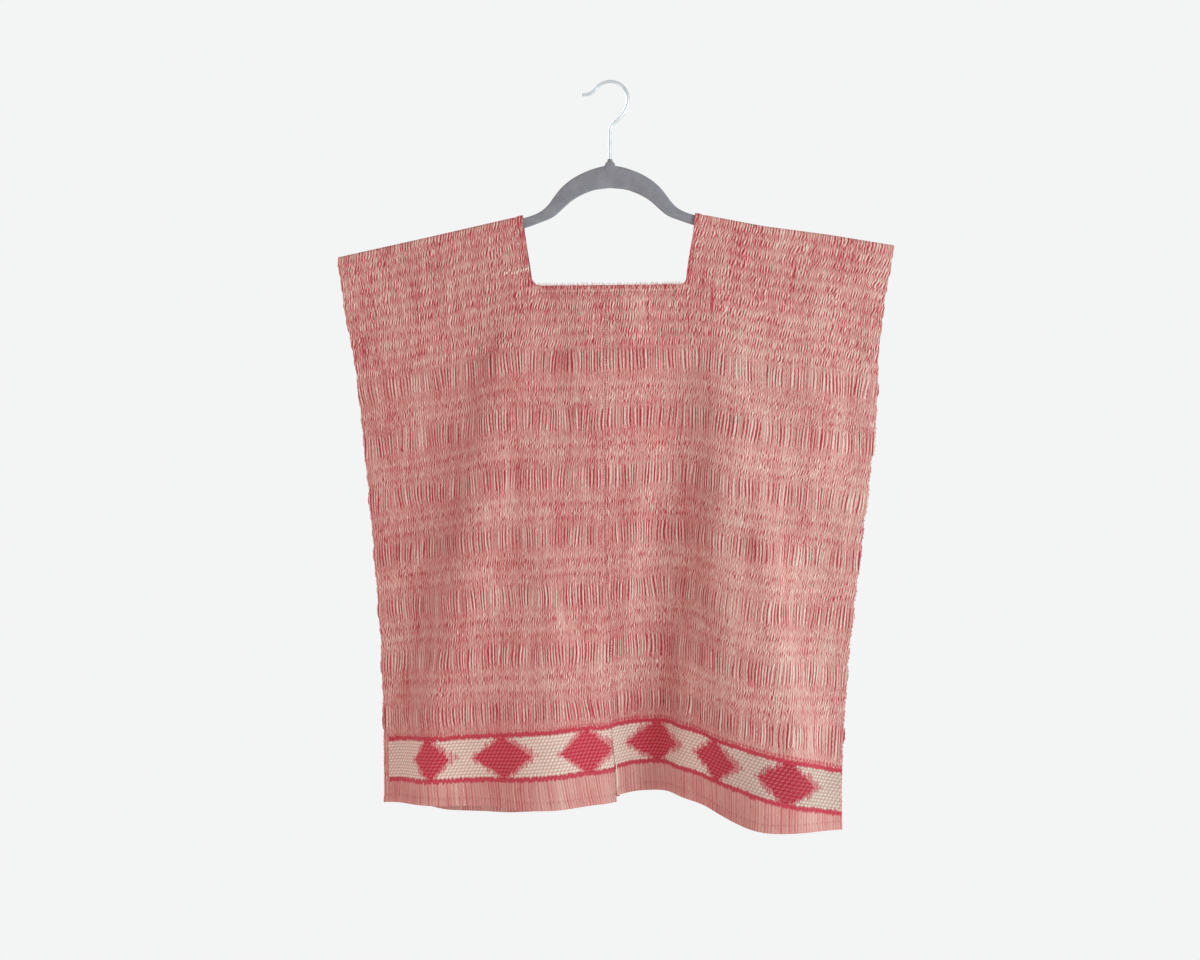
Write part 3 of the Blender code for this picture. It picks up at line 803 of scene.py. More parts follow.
class Bench:
    """Lays nodes in one tree and joins them."""

    def __init__(self, tree: bpy.types.NodeTree) -> None:
        """Start on a tree."""
        self.tree = tree
        self.count = 0

    def node(self, kind: str, **settings: object) -> Node:
        """A new node with its settings made."""
        made = self.tree.nodes.new(kind)
        made.location = (180.0 * (self.count % 12), -220.0 * (self.count // 12))
        self.count += 1
        for name, value in settings.items():
            setattr(made, name, value)
        return made

    def join(self, target: Socket, value: object) -> None:
        """Feed an input from a socket, or set it to a value."""
        if isinstance(value, bpy.types.NodeSocket):
            self.tree.links.new(value, target)
        elif value is not None:
            target.default_value = value

    def maths(self, operation: str, *values: object) -> Socket:
        """Result of a Math node on up to three values."""
        made = self.node("ShaderNodeMath", operation=operation)
        for target, value in zip(made.inputs, values):
            self.join(target, value)
        return made.outputs[0]

    def chain(self, operation: str, *values: object) -> Socket:
        """Result of one operation on all of the values in turn."""
        return reduce(partial(self.maths, operation), values)

    add = partialmethod(chain, "ADD")
    times = partialmethod(chain, "MULTIPLY")
    top = partialmethod(chain, "MAXIMUM")
    least = partialmethod(chain, "MINIMUM")
    minus = partialmethod(maths, "SUBTRACT")
    over = partialmethod(maths, "DIVIDE")
    mad = partialmethod(maths, "MULTIPLY_ADD")  # value, factor, extra
    power = partialmethod(maths, "POWER")
    size = partialmethod(maths, "ABSOLUTE")
    sign = partialmethod(maths, "SIGN")
    sine = partialmethod(maths, "SINE")
    whole = partialmethod(maths, "FLOOR")
    above = partialmethod(maths, "GREATER_THAN")

    def step(self, value: object, low: object, high: object) -> Socket:
        """Smooth step from 0 at low to 1 at high; high may be under low."""
        made = self.node("ShaderNodeMapRange", interpolation_type="SMOOTHSTEP")
        self.join(made.inputs["Value"], value)
        self.join(made.inputs["From Min"], low)
        self.join(made.inputs["From Max"], high)
        return made.outputs["Result"]

    def split(self, vector: object) -> tuple[Socket, Socket, Socket]:
        """The three parts of a vector."""
        made = self.node("ShaderNodeSeparateXYZ")
        self.join(made.inputs[0], vector)
        return made.outputs[0], made.outputs[1], made.outputs[2]

    def vector(self, x: object, y: object, z: object = 0.0) -> Socket:
        """A vector of three values."""
        made = self.node("ShaderNodeCombineXYZ")
        for target, value in zip(made.inputs, (x, y, z)):
            self.join(target, value)
        return made.outputs[0]

    def noise(self, place: object, scale: object, detail: float = 1.0) -> Socket:
        """Soft noise, about 0 to 1."""
        made = self.node("ShaderNodeTexNoise", noise_dimensions="3D")
        self.join(made.inputs["Vector"], place)
        self.join(made.inputs["Scale"], scale)
        self.join(made.inputs["Detail"], detail)
        return made.outputs["Fac"]

    def uneven(self, place: object, scale: object, detail: float = 1.0) -> Socket:
        """Soft noise about 0."""
        return self.minus(self.noise(place, scale, detail), 0.5)

    def chances(self, place: object) -> tuple[Socket, Socket, Socket]:
        """Three steady random numbers, 0 to 1, for each place of whole numbers."""
        made = self.node("ShaderNodeTexWhiteNoise", noise_dimensions="3D")
        self.join(made.inputs["Vector"], place)
        split = self.node("ShaderNodeSeparateColor")
        self.join(split.inputs[0], made.outputs["Color"])
        return split.outputs[0], split.outputs[1], split.outputs[2]

    def swap(self, second: object, when_0: object, when_1: object) -> Socket:
        """One of two values, by a share of 0 or 1."""
        made = self.node("ShaderNodeMix", data_type="FLOAT")
        self.join(made.inputs[0], second)
        self.join(made.inputs[2], when_0)
        self.join(made.inputs[3], when_1)
        return made.outputs[0]

    def ramp(self, value: object, *shades: Color) -> Socket:
        """Colour along a ramp of shades in even steps."""
        made = self.node("ShaderNodeValToRGB")
        stops = made.color_ramp.elements
        while len(stops) < len(shades):
            stops.new(0.5)
        for number, shade in enumerate(shades):
            stops[number].position = number / (len(shades) - 1)
            stops[number].color = shade
        self.join(made.inputs[0], value)
        return made.outputs["Color"]

    def blend(self, share: object, first: object, second: object, kind: str = "MIX") -> Socket:
        """Mix of two colours."""
        made = self.node("ShaderNodeMix", data_type="RGBA", blend_type=kind)
        self.join(made.inputs[0], share)
        self.join(made.inputs[6], first)
        self.join(made.inputs[7], second)
        return made.outputs[2]

    def shaded(self, color: object, share: Socket) -> Socket:
        """A colour made darker or paler by a share."""
        return self.blend(1.0, color, self.vector(share, share, share), "MULTIPLY")

    def bump(self, height: object, distance: float, strength: float) -> Socket:
        """Normal from a height."""
        made = self.node("ShaderNodeBump")
        for name, value in (("Strength", strength), ("Distance", distance), ("Height", height)):
            self.join(made.inputs[name], value)
        return made.outputs["Normal"]


VECTOR = "NodeSocketVector"


class Effect:
    """A shader node group that is built once and placed in each material.

    Its inputs are knobs, each with the value that it starts from, and its outputs are results.
    """

    title = "effect"
    knobs: dict[str, float | str] = {}
    results: tuple[str, ...] = ()

    @classmethod
    def lay(cls, bench: Bench, given: Sequence[Socket]) -> Sequence[Socket]:
        """Nodes inside the group, from its inputs to the source of each output."""
        raise NotImplementedError

    @classmethod
    def tree(cls) -> bpy.types.NodeTree:
        """The group, built on its first use."""
        found = bpy.data.node_groups.get(cls.title)
        if found is not None:
            return found
        made = bpy.data.node_groups.new(cls.title, "ShaderNodeTree")
        for name, start in cls.knobs.items():
            kind = VECTOR if start == VECTOR else "NodeSocketFloat"
            socket = made.interface.new_socket(name, in_out="INPUT", socket_type=kind)
            if start != VECTOR:
                socket.default_value = start
        for name in cls.results:
            made.interface.new_socket(name, in_out="OUTPUT", socket_type="NodeSocketFloat")
        bench = Bench(made)
        sources = cls.lay(bench, bench.node("NodeGroupInput").outputs[:-1])
        for output, source in zip(bench.node("NodeGroupOutput").inputs, sources):
            bench.join(output, source)
        return made

    @classmethod
    def use(cls, bench: Bench, **values: object) -> dict[str, Socket]:
        """Outputs by name of the group placed on a bench, with its inputs fed by name."""
        made = bench.node("ShaderNodeGroup")
        made.node_tree = cls.tree()
        for name, value in values.items():
            bench.join(made.inputs[name.replace("_", " ").title()], value)
        return {output.name: output for output in made.outputs}


class WarpStripes(Effect):
    """Pairs of a dark and a pale yarn along the warp, in lengths of uneven strength."""

    title = "warp_stripes"
    knobs = {
        "Place": VECTOR, "Pitch": 0.004, "Long": 0.008, "Stagger": 0.4, "Sway": 0.001, "Lean": 0.0,
        "Taper": 0.25, "Seed": 0.0,
    }
    results = ("Dark", "Pale")
    roundness = 1.5
    evenness = 1.1

    @classmethod
    def lay(cls, bench: Bench, given: Sequence[Socket]) -> Sequence[Socket]:
        """A swaying grid of lengths, each with its own strengths; place ends with a layer number."""
        place, pitch, long_, stagger, sway, lean, taper, seed = given
        across, along, layer = bench.split(place)
        drift, uneven = (
            bench.uneven(bench.vector(bench.times(across, wide), bench.times(along, high), layer), 1.0)
            for wide, high in ((24.0, 15.0), (150.0, 9.0))
        )
        series = bench.mad(layer, 7.0, seed)
        column = bench.add(across, bench.times(drift, sway), bench.times(along, lean))
        column = bench.mad(uneven, 0.9, bench.over(column, pitch))
        pair = bench.whole(column)
        start, _, _ = bench.chances(bench.vector(pair, series, 5.0))
        row = bench.add(bench.over(along, long_), bench.times(start, stagger))
        cell = bench.whole(row)
        dark, pale, shift = bench.chances(bench.vector(pair, cell, series))
        inside = bench.minus(row, cell)
        ends = bench.step(inside, 0.0, taper), bench.step(inside, 1.0, bench.minus(1.0, taper))
        turn = bench.add(bench.minus(column, pair), bench.times(bench.minus(shift, 0.5), 0.12))
        wave = bench.sine(bench.times(turn, 2.0 * math.pi))
        crest = bench.power(bench.top(wave, 0.0), cls.roundness)
        hollow = bench.power(bench.top(bench.times(wave, -1.0), 0.0), cls.roundness)
        return (
            bench.times(*ends, crest, bench.power(dark, cls.evenness)),
            bench.times(*ends, hollow, bench.power(pale, cls.evenness)),
        )


class RepeatBands(Effect):
    """Bands that repeat down the cloth."""

    title = "repeat_bands"
    knobs = {"Down": 0.0, "First": 0.2, "Pitch": 0.1, "Count": 7.0, "Half": 0.02, "Softness": 0.006}
    results = ("Band", "Offset", "Number")

    @classmethod
    def lay(cls, bench: Bench, given: Sequence[Socket]) -> Sequence[Socket]:
        """Number of the nearest band, distance from its middle, and a soft mask of it."""
        down, first, pitch, count, half, softness = given
        turn = bench.over(bench.minus(down, first), pitch)
        last = bench.minus(count, 1.0)
        nearest = bench.least(bench.top(bench.maths("ROUND", turn), 0.0), last)
        offset = bench.times(bench.minus(turn, nearest), pitch)
        outer, inner = bench.add(half, softness), bench.minus(half, softness)
        return bench.step(bench.size(offset), outer, inner), offset, nearest

    @classmethod
    def of(cls, bench: Bench, down: Socket, repeat: Repeat, softness: float) -> dict[str, Socket]:
        """The bands of one repeat of the plan, with edges of a softness."""
        return cls.use(
            bench, down=down, first=repeat.first, pitch=repeat.pitch, count=float(repeat.count),
            half=repeat.half, softness=softness,
        )


class YarnRelief(Effect):
    """Fine ribs of a warp-faced weave: raised warp yarns that dip at each weft."""

    title = "yarn_relief"
    knobs = {"Place": VECTOR, "Warp Pitch": 0.0011, "Weft Pitch": 0.0016}
    results = ("Height",)

    @classmethod
    def lay(cls, bench: Bench, given: Sequence[Socket]) -> Sequence[Socket]:
        """Product of a rib across and a staggered dip along."""
        place, warp_pitch, weft_pitch = given
        across, along, _ = bench.split(place)
        sway = bench.uneven(place, 170.0, 2.0)
        yarn = bench.mad(sway, 0.9, bench.over(across, warp_pitch))
        pick = bench.mad(sway, 1.1, bench.over(along, weft_pitch))
        odd = bench.times(bench.maths("MODULO", bench.whole(yarn), 2.0), 0.5)
        rib = bench.size(bench.sine(bench.times(yarn, math.pi)))
        dip = bench.size(bench.sine(bench.times(bench.add(pick, odd), math.pi)))
        return (bench.times(rib, bench.mad(dip, 0.5, 0.5)),)


class BrocadeDiamond(Effect):
    """One brocaded diamond, stepped at each yarn and needled at its side tips."""

    title = "brocade_diamond"
    knobs = {
        "Across": 0.0, "Drop": 0.0, "Middle": 0.0, "Half Width": 0.0375, "Half High": 0.025,
        "Needle Rise": 0.0070, "Yarn": 0.0027,
    }
    results = ("Diamond", "Needles")
    fringe = 0.0048
    edge_soft = 0.0013
    lower_rise = 0.0035
    needle_reach = 0.0062
    needle_uneven = 0.0060
    needle_soft = 0.0020

    @classmethod
    def lay(cls, bench: Bench, given: Sequence[Socket]) -> Sequence[Socket]:
        """Masks of the diamond and of the needles beside its tips."""
        across, drop, middle, half_wide, half_high, needle_rise, yarn_wide = given
        turn = bench.over(across, yarn_wide)
        yarn = bench.whole(turn)
        over, under, long_ = bench.chances(bench.vector(yarn, middle, 0.0))
        from_middle = bench.minus(bench.times(bench.add(yarn, 0.5), yarn_wide), middle)
        aside = bench.over(bench.size(from_middle), half_wide)
        share = bench.minus(1.0, aside)
        upper = bench.maths("LESS_THAN", drop, 0.0)
        uneven = bench.minus(bench.swap(upper, under, over), 0.5)
        level = bench.size(drop)
        fringe = bench.times(uneven, cls.fringe, bench.step(share, 0.0, 0.30))
        reach = bench.add(bench.times(share, half_high, 1.01), fringe)
        diamond = bench.step(bench.minus(level, reach), cls.edge_soft, -cls.edge_soft)

        rise = bench.mad(upper, needle_rise, cls.lower_rise)
        outer = bench.add(half_wide, bench.mad(bench.above(from_middle, 0.0), rise, cls.needle_reach))
        far = bench.minus(1.0, bench.times(aside, bench.over(half_wide, outer)))
        ragged = bench.times(bench.minus(long_, 0.5), cls.needle_uneven, bench.step(far, 0.0, 0.2))
        tips = bench.add(bench.times(far, half_high, 1.12), ragged)
        fade = bench.step(bench.minus(level, tips), cls.needle_soft, -cls.needle_soft)
        hatch = bench.step(bench.size(bench.minus(bench.minus(turn, yarn), 0.5)), 0.46, 0.14)
        strength = bench.times(bench.mad(hatch, 0.70, 0.30), bench.step(long_, -0.30, 0.40))
        needles = bench.times(fade, strength, bench.step(far, -0.06, 0.16))
        return diamond, bench.times(needles, bench.minus(1.0, diamond))


class BrocadeBeads(Effect):
    """Staggered rows of leaning beads, as raised by a brocade's floats."""

    title = "brocade_beads"
    knobs = {"Across": 0.0, "Drop": 0.0, "Wide": 0.0050, "High": 0.0038, "Lean": 0.45}
    results = ("Bead",)

    @classmethod
    def lay(cls, bench: Bench, given: Sequence[Socket]) -> Sequence[Socket]:
        """Roundness of the bead at each place, 1 in its middle and 0 in the gaps."""
        across, drop, wide, high, lean = given
        row = bench.over(drop, high)
        row_number = bench.whole(row)
        odd = bench.maths("PINGPONG", row_number, 1.0)
        column = bench.mad(odd, 0.5, bench.over(across, wide))
        y = bench.minus(bench.minus(row, row_number), 0.5)
        x = bench.mad(y, lean, bench.minus(bench.maths("FRACT", column), 0.5))
        return (bench.step(bench.add(bench.times(x, x, 5.4), bench.times(y, y, 4.8)), 1.25, 0.15),)


class FineGrain(Effect):
    """Fine uneven grain, for nap, lint and slight changes of colour."""

    title = "fine_grain"
    knobs = {"Place": VECTOR, "Coarse": 40.0, "Fine": 900.0}
    results = ("Broad", "Grain")

    @classmethod
    def lay(cls, bench: Bench, given: Sequence[Socket]) -> Sequence[Socket]:
        """Two noises of the scales that are given."""
        place, coarse, fine = given
        return bench.noise(place, coarse, 2.0), bench.noise(place, fine, 3.0)


class Finish:
    """A material in the making: a bench on its tree, and its Principled shader."""

    def __init__(self, name: str) -> None:
        """Start a material with nothing but its shader."""
        self.material = bpy.data.materials.new(name)
        self.material.use_nodes = True
        self.material.node_tree.nodes.clear()
        self.bench = Bench(self.material.node_tree)
        self.shader = self.bench.node("ShaderNodeBsdfPrincipled")
        output = self.bench.node("ShaderNodeOutputMaterial")
        self.bench.join(output.inputs["Surface"], self.shader.outputs["BSDF"])

    def grain(self, coarse: float, fine: float) -> tuple[Socket, Socket]:
        """Broad and fine grain at each place of the object."""
        spot = self.bench.node("ShaderNodeTexCoord").outputs["Object"]
        made = FineGrain.use(self.bench, place=spot, coarse=coarse, fine=fine)
        return made["Broad"], made["Grain"]

    def done(self, values: dict[str, object]) -> bpy.types.Material:
        """The material, with inputs of its shader fed or set by name."""
        for name, value in values.items():
            self.bench.join(self.shader.inputs[name], value)
        return self.material


# ---- finishes
class YarnSet(NamedTuple):
    """One set of yarn lengths: what WarpStripes takes, and how strongly it tints."""

    pitch: float
    long: float
    stagger: float
    sway: float
    lean: float
    taper: float
    seed: float
    pale: float
    dark: float

    def tone(self, bench: Bench, place: Socket, long: float | None = None) -> Socket:
        """Tone that the set adds: its pale yarns less its dark ones.

        Args:
            bench: Bench on the material's tree.
            place: Places across and along, with the layer.
            long: Length of the runs where it isn't the set's own.

        Returns:
            The tone, about 0.
        """
        knobs = self._asdict() | {"place": place, "long": long or self.long}
        pale, dark = knobs.pop("pale"), knobs.pop("dark")
        yarns = WarpStripes.use(bench, **knobs)
        return bench.minus(bench.times(yarns["Pale"], pale), bench.times(yarns["Dark"], dark))


class Spot(NamedTuple):
    """A place of one web for its material's nodes, with the web's length and border height.

    flat holds across, along and the layer; drop is the distance below the border's middle, and
    below the mask of the plain strip under the border.
    """

    flat: Socket
    across: Socket
    down: Socket
    drop: Socket
    below: Socket
    length: float
    high: float


class WeaveZones(NamedTuple):
    """Masks of the kinds of weave, and each place's distance from its gauze row."""

    loose: Socket
    dense: Socket
    rows: Socket
    row_place: Socket
    row_offset: Socket


@dataclass(frozen=True)
class WovenCotton:
    """Hand-woven cotton in dusty pink, crimson and cream, with its brocaded border."""

    plan: WeavePlan
    crimson: Color = paint(164, 40, 56)
    rose: Color = paint(184, 84, 88)
    pink: Color = paint(196, 132, 126)
    blush: Color = paint(210, 162, 151)
    cream: Color = paint(226, 200, 188)
    border_crimson: Color = paint(184, 42, 62)
    border_rose: Color = paint(208, 104, 112)
    border_cream: Color = paint(232, 216, 202)
    border_gap: Color = paint(204, 164, 150)
    line_crimson: Color = paint(186, 46, 68)
    needle_rose: Color = paint(196, 84, 96)
    strand: YarnSet = YarnSet(0.0039, 0.0, 0.0, 0.0120, 0.0, 0.04, 3.0, 0.74, 1.08)
    knot: YarnSet = YarnSet(0.0033, 0.0, 0.16, 0.0110, 0.18, 0.34, 7.0, 0.88, 1.24)
    dash: YarnSet = YarnSet(0.0031, 0.0088, 1.0, 0.0110, 0.13, 0.42, 11.0, 0.66, 0.88)
    fine: YarnSet = YarnSet(0.0023, 0.0064, 1.0, 0.0110, 0.0, 0.40, 19.0, 0.50, 0.52)
    column_tone: float = 0.36
    patch_tone: float = 0.36
    # Painted light and shade: how much paler the upper side and darker the lower side of each gauze row is
    # made.
    tilt_tone: float = -0.055
    # Painted shade: how much darker the strip along the neck's turned side edges is made.
    neck_tone: float = -0.20
    right_tone: float = 0.075
    band_wavy: float = 0.010
    band_ragged: float = 0.026
    row_soft: float = 0.0024
    yoke_soft: float = 0.006
    margin_soft: float = 0.0005
    pick_wide: float = 0.0022
    scallop_wide: float = 0.0052
    scallop_high: float = 0.0004
    line_uneven: float = 0.0016
    line_thinner: float = 0.0012
    dot_wide: float = 0.0047
    dot_above: float = 0.0050
    twill_share: float = 0.68
    roughness: float = 0.88
    sheen: float = 0.10

    def make(self, name: str, border: BorderLayout, length: float) -> bpy.types.Material:
        """The material for one web.

        Args:
            name: The material's name.
            border: Where the border lies on this web.
            length: Length of the cloth from the shoulder to the hem.

        Returns:
            The material.
        """
        finish = Finish(name)
        bench = finish.bench
        mark = bench.node("ShaderNodeAttribute", attribute_name=WEAVE_PLACE)
        across, path, down = bench.split(mark.outputs["Vector"])
        flat = bench.vector(across, path, bench.sign(path))

        drop = bench.times(bench.minus(down, border.middle), length)
        high = border.half_share * length
        spot = Spot(flat, across, down, drop, bench.step(drop, high, high + 0.003), length, high)
        tone, stand = self.yarn_tones(bench, spot)
        color = bench.ramp(tone, self.crimson, self.rose, self.pink, self.blush, self.cream)
        color, raised = self.brocade(bench, spot, border, color)

        grain = FineGrain.use(bench, place=flat, coarse=13.0, fine=1400.0)
        color = bench.shaded(color, bench.mad(bench.minus(grain["Broad"], 0.5), 0.16, 1.0))
        ribs = YarnRelief.use(bench, place=flat, warp_pitch=0.0011, weft_pitch=0.0017)["Height"]
        height = bench.add(bench.times(ribs, 0.30), stand, raised, bench.times(grain["Grain"], 0.22))
        return finish.done({
            "Base Color": color,
            "Roughness": bench.mad(grain["Grain"], 0.12, self.roughness - 0.06),
            "Normal": bench.bump(height, 0.0010, 0.7),
            "Specular IOR Level": 0.25,
            "Sheen Weight": self.sheen,
            "Sheen Roughness": 0.5,
        })

    def zones(self, bench: Bench, spot: Spot) -> WeaveZones:
        """Masks of the loose bands, the dense weave and the gauze rows at a spot."""
        plan, soft = self.plan, self.row_soft
        wavy = bench.mad(bench.uneven(spot.flat, 16.0), self.band_wavy, spot.down)
        ragged = bench.mad(bench.uneven(spot.flat, 300.0), self.band_ragged, wavy)
        loose = RepeatBands.of(bench, ragged, plan.bands, 0.006)["Band"]
        pair = RepeatBands.of(bench, wavy, plan.pairs, 0.010)
        yoke_row = RepeatBands.of(bench, wavy, plan.yoke, 0.006)
        yoke = bench.step(wavy, plan.yoke_end + self.yoke_soft, plan.yoke_end - self.yoke_soft)
        on_yoke = bench.above(yoke, 0.5)
        side = bench.sign(pair["Offset"])
        pair_offset = bench.times(side, bench.minus(bench.size(pair["Offset"]), plan.row_apart))
        pair_number = bench.mad(pair["Number"], 2.0, bench.mad(side, 0.5, plan.yoke.count + 2.0))
        offset = bench.swap(on_yoke, pair_offset, yoke_row["Offset"])
        number = bench.swap(on_yoke, pair_number, yoke_row["Number"])
        rows = bench.step(bench.size(offset), plan.row_half + soft, plan.row_half - soft)
        row_long = plan.yoke.pitch * spot.length
        place = bench.mad(bench.add(number, 0.5), row_long, bench.times(offset, spot.length))
        return WeaveZones(loose, bench.top(pair["Band"], yoke), rows, place, offset)

    def yarn_tones(self, bench: Bench, spot: Spot) -> tuple[Socket, Socket]:
        """How pale the yarn is at each place, with painted shade along the neck's side edges and painted
        light and shade on the gauze rows, and how far it stands out.

        Args:
            bench: Bench on the material's tree.
            spot: The place.

        Returns:
            Tone from 0, crimson, to 1, cream; and a height.
        """
        plan, zones = self.plan, self.zones(bench, spot)
        flat, _, down, _, below, length, _ = spot
        across, along, layer = bench.split(flat)
        band_long, row_long = plan.bands.pitch * length, plan.yoke.pitch * length
        banded = bench.times(bench.minus(down, plan.bands.first - 0.5 * plan.bands.pitch), length)
        banded = bench.swap(below, banded, 8.5 * band_long)
        strand = self.strand.tone(bench, bench.vector(across, banded, layer), band_long)
        knot = self.knot.tone(bench, bench.vector(across, zones.row_place, layer), row_long)
        dash, fine = self.dash.tone(bench, flat), self.fine.tone(bench, flat)

        lively = bench.mad(bench.step(bench.noise(flat, 58.0, 2.0), 0.34, 0.68), 0.9, 0.45)
        calm = bench.minus(1.0, zones.loose)
        above = bench.minus(1.0, below)
        broad = bench.vector(bench.times(across, 80.0), bench.times(along, 7.0), layer)
        # Painted light and shade on the gauze rows: each row paler on its upper side and darker on its lower
        # side.
        row_side_shading = bench.sine(bench.times(zones.row_offset, 2.0 * math.pi / plan.yoke.pitch))
        # Painted shade: a darker strip along the neck's turned side edges, where their fold lies in shadow.
        neck_edge_shade_mask = bench.step(bench.size(across), 0.1105, 0.1065), bench.step(down, 0.120, 0.116)
        on_right = bench.step(across, 0.03, 0.20), bench.step(down, 0.05, 0.32)
        strand_share = bench.add(bench.times(zones.loose, 0.90), bench.times(below, 0.15), 0.14)
        in_dense = bench.mad(zones.dense, 0.50, 0.50)
        dash_share = bench.times(in_dense, calm, bench.mad(zones.rows, -0.25, 1.0))
        tone = bench.add(
            0.5,
            bench.times(strand, strand_share),
            bench.times(knot, zones.rows, zones.dense, calm, lively),
            bench.times(dash, dash_share, lively, above),
            bench.times(fine, bench.mad(below, -0.60, 1.0)),
            bench.times(bench.uneven(broad, 1.0, 2.0), self.column_tone),
            bench.times(bench.uneven(flat, 21.0, 2.0), self.patch_tone),
            bench.times(row_side_shading, zones.dense, self.tilt_tone),
            bench.times(zones.dense, calm, 0.03),
            bench.times(below, 0.05),
            bench.times(*neck_edge_shade_mask, self.neck_tone),
            bench.times(*on_right, above, self.right_tone),
        )
        tone = bench.least(bench.top(tone, 0.0), 1.0)
        return tone, bench.times(tone, bench.mad(zones.loose, 0.65, 0.55))

    def brocade(
        self, bench: Bench, spot: Spot, border: BorderLayout, color: Socket
    ) -> tuple[Socket, Socket]:
        """The border laid over the plain weave, with painted shade towards the right web's far end.

        Args:
            bench: Bench on the material's tree.
            spot: The place.
            border: Where the border lies.
            color: Colour of the plain weave, which shows through a little.

        Returns:
            The colour with the border, and how far the border stands out.
        """
        across, drop, high, soft = spot.across, spot.drop, spot.high, self.margin_soft
        from_start = bench.minus(across, border.margin_start)
        inside = bench.times(
            bench.step(bench.minus(bench.size(drop), high), 0.0008, -0.0008),
            bench.step(from_start, -soft, soft),
            bench.step(bench.minus(border.margin_end, across), -soft, soft),
        )
        bead = BrocadeBeads.use(bench, across=across, drop=drop)["Bead"]
        twill = BrocadeBeads.use(bench, across=across, drop=drop, lean=0.85, wide=0.0056, high=0.0042)
        diamonds, needles = 0.0, 0.0
        for middle, half in border.diamonds:
            made = BrocadeDiamond.use(
                bench, across=across, drop=drop, middle=middle, half_width=half, half_high=high
            )
            diamonds = bench.top(diamonds, made["Diamond"])
            needles = bench.top(needles, made["Needles"])

        # The line over and the line under the border, uneven from yarn to yarn, and dots above.
        yarn = bench.whole(bench.over(across, self.pick_wide))
        upper, lower, thin = bench.chances(bench.vector(yarn, 3.0, 8.0))
        wave = bench.sine(bench.times(across, 2.0 * math.pi / self.scallop_wide))
        scallop = bench.times(wave, self.scallop_high)
        wide = bench.mad(thin, self.line_thinner, border.line_half - 0.5 * self.line_thinner)
        lines = []
        for sign, uneven in ((-1.0, upper), (1.0, lower)):
            shift = bench.times(bench.minus(uneven, 0.5), self.line_uneven)
            off = bench.size(bench.add(drop, -sign * high, scallop, shift))
            lines.append(bench.step(bench.minus(off, wide), 0.0012, -0.0010))
        started = bench.step(from_start, -0.0015, 0.0015)
        line = bench.times(bench.top(*lines), started, bench.mad(bead, 0.14, 0.86))
        turn = bench.maths("FRACT", bench.over(across, self.dot_wide))
        dots = bench.step(bench.size(bench.minus(turn, 0.5)), 0.42, 0.16)
        above = bench.size(bench.add(drop, high + self.dot_above, scallop))
        faint = bench.mad(bench.step(across, -0.12, 0.02), 0.45, 0.35)
        line = bench.top(line, bench.times(bench.step(above, 0.0024, 0.0006), dots, faint))

        pale = bench.blend(0.12, bench.blend(bead, self.border_gap, self.border_cream), color)
        float_share = bench.times(bench.step(twill["Bead"], 0.35, 0.95), self.twill_share)
        red = bench.blend(float_share, self.border_crimson, self.border_rose)
        pattern = bench.blend(diamonds, bench.blend(needles, pale, self.needle_rose), red)
        # Painted shade: the border darker towards the right web's far end, where the cloth turns away from
        # the light.
        pattern = bench.shaded(pattern, bench.mad(bench.step(across, 0.12, 0.24), -0.18, 1.0))
        color = bench.blend(line, bench.blend(inside, color, pattern), self.line_crimson)
        raised = bench.times(inside, bench.mad(bead, 0.8, 0.25))
        return color, bench.add(raised, bench.times(line, 0.5))


@dataclass(frozen=True)
class Flock:
    """Grey velvet flock."""

    name: str = "grey_flock"
    dark: Color = paint(117, 116, 122)
    light: Color = paint(146, 145, 151)

    def make(self) -> bpy.types.Material:
        """The material, with a short nap that catches light at the edges."""
        finish = Finish(self.name)
        bench = finish.bench
        broad, grain = finish.grain(70.0, 1900.0)
        share = bench.add(bench.times(broad, 0.25), bench.times(grain, 0.8))
        return finish.done({
            "Base Color": bench.blend(bench.step(share, 0.38, 0.66), self.dark, self.light),
            "Normal": bench.bump(grain, 0.0005, 0.6),
            "Roughness": 0.95,
            "Specular IOR Level": 0.2,
            "Sheen Weight": 0.65,
            "Sheen Roughness": 0.35,
        })


@dataclass(frozen=True)
class BrightWire:
    """Chromed steel wire with fine drawing marks."""

    name: str = "chromed_wire"
    color: Color = paint(210, 213, 216)
    worn: Color = paint(184, 188, 192)

    def make(self) -> bpy.types.Material:
        """The material, dulled a little where hands and rails rub it."""
        finish = Finish(self.name)
        bench = finish.bench
        broad, grain = finish.grain(60.0, 700.0)
        return finish.done({
            "Base Color": bench.blend(bench.step(broad, 0.35, 0.75), self.color, self.worn),
            "Normal": bench.bump(grain, 0.00004, 0.15),
            "Roughness": bench.mad(broad, 0.16, 0.26),
            "Metallic": 1.0,
        })


@dataclass(frozen=True)
class SewingThread:
    """Cotton sewing thread."""

    name: str
    color: Color
    shade: float = 0.84

    def make(self) -> bpy.types.Material:
        """The material, with lint and slight changes of dye along the thread."""
        finish = Finish(self.name)
        bench = finish.bench
        broad, grain = finish.grain(320.0, 2600.0)
        shaded = tuple(self.shade * part for part in self.color[:3]) + (1.0,)
        return finish.done({
            "Base Color": bench.blend(bench.step(broad, 0.3, 0.7), shaded, self.color),
            "Normal": bench.bump(grain, 0.00005, 0.4),
            "Roughness": 0.85,
            "Sheen Weight": 0.1,
        })


@dataclass(frozen=True)
class StudioPaper:
    """Matt pale paper of the studio floor."""

    name: str = "studio_paper"
    color: Color = paint(238, 238, 237)
    shade: Color = paint(232, 232, 231)

    def make(self) -> bpy.types.Material:
        """The material, with a trace of mottling."""
        finish = Finish(self.name)
        broad, _ = finish.grain(1.5, 60.0)
        color = finish.bench.blend(broad, self.color, self.shade)
        return finish.done({"Base Color": color, "Roughness": 0.9})


# ---- sewing
THREAD = 0.00038
ROWS = [(side, wall, side.value + 3 * wall.value) for side in Side for wall in Wall]
Row = tuple[Grid, Grid, Grid]


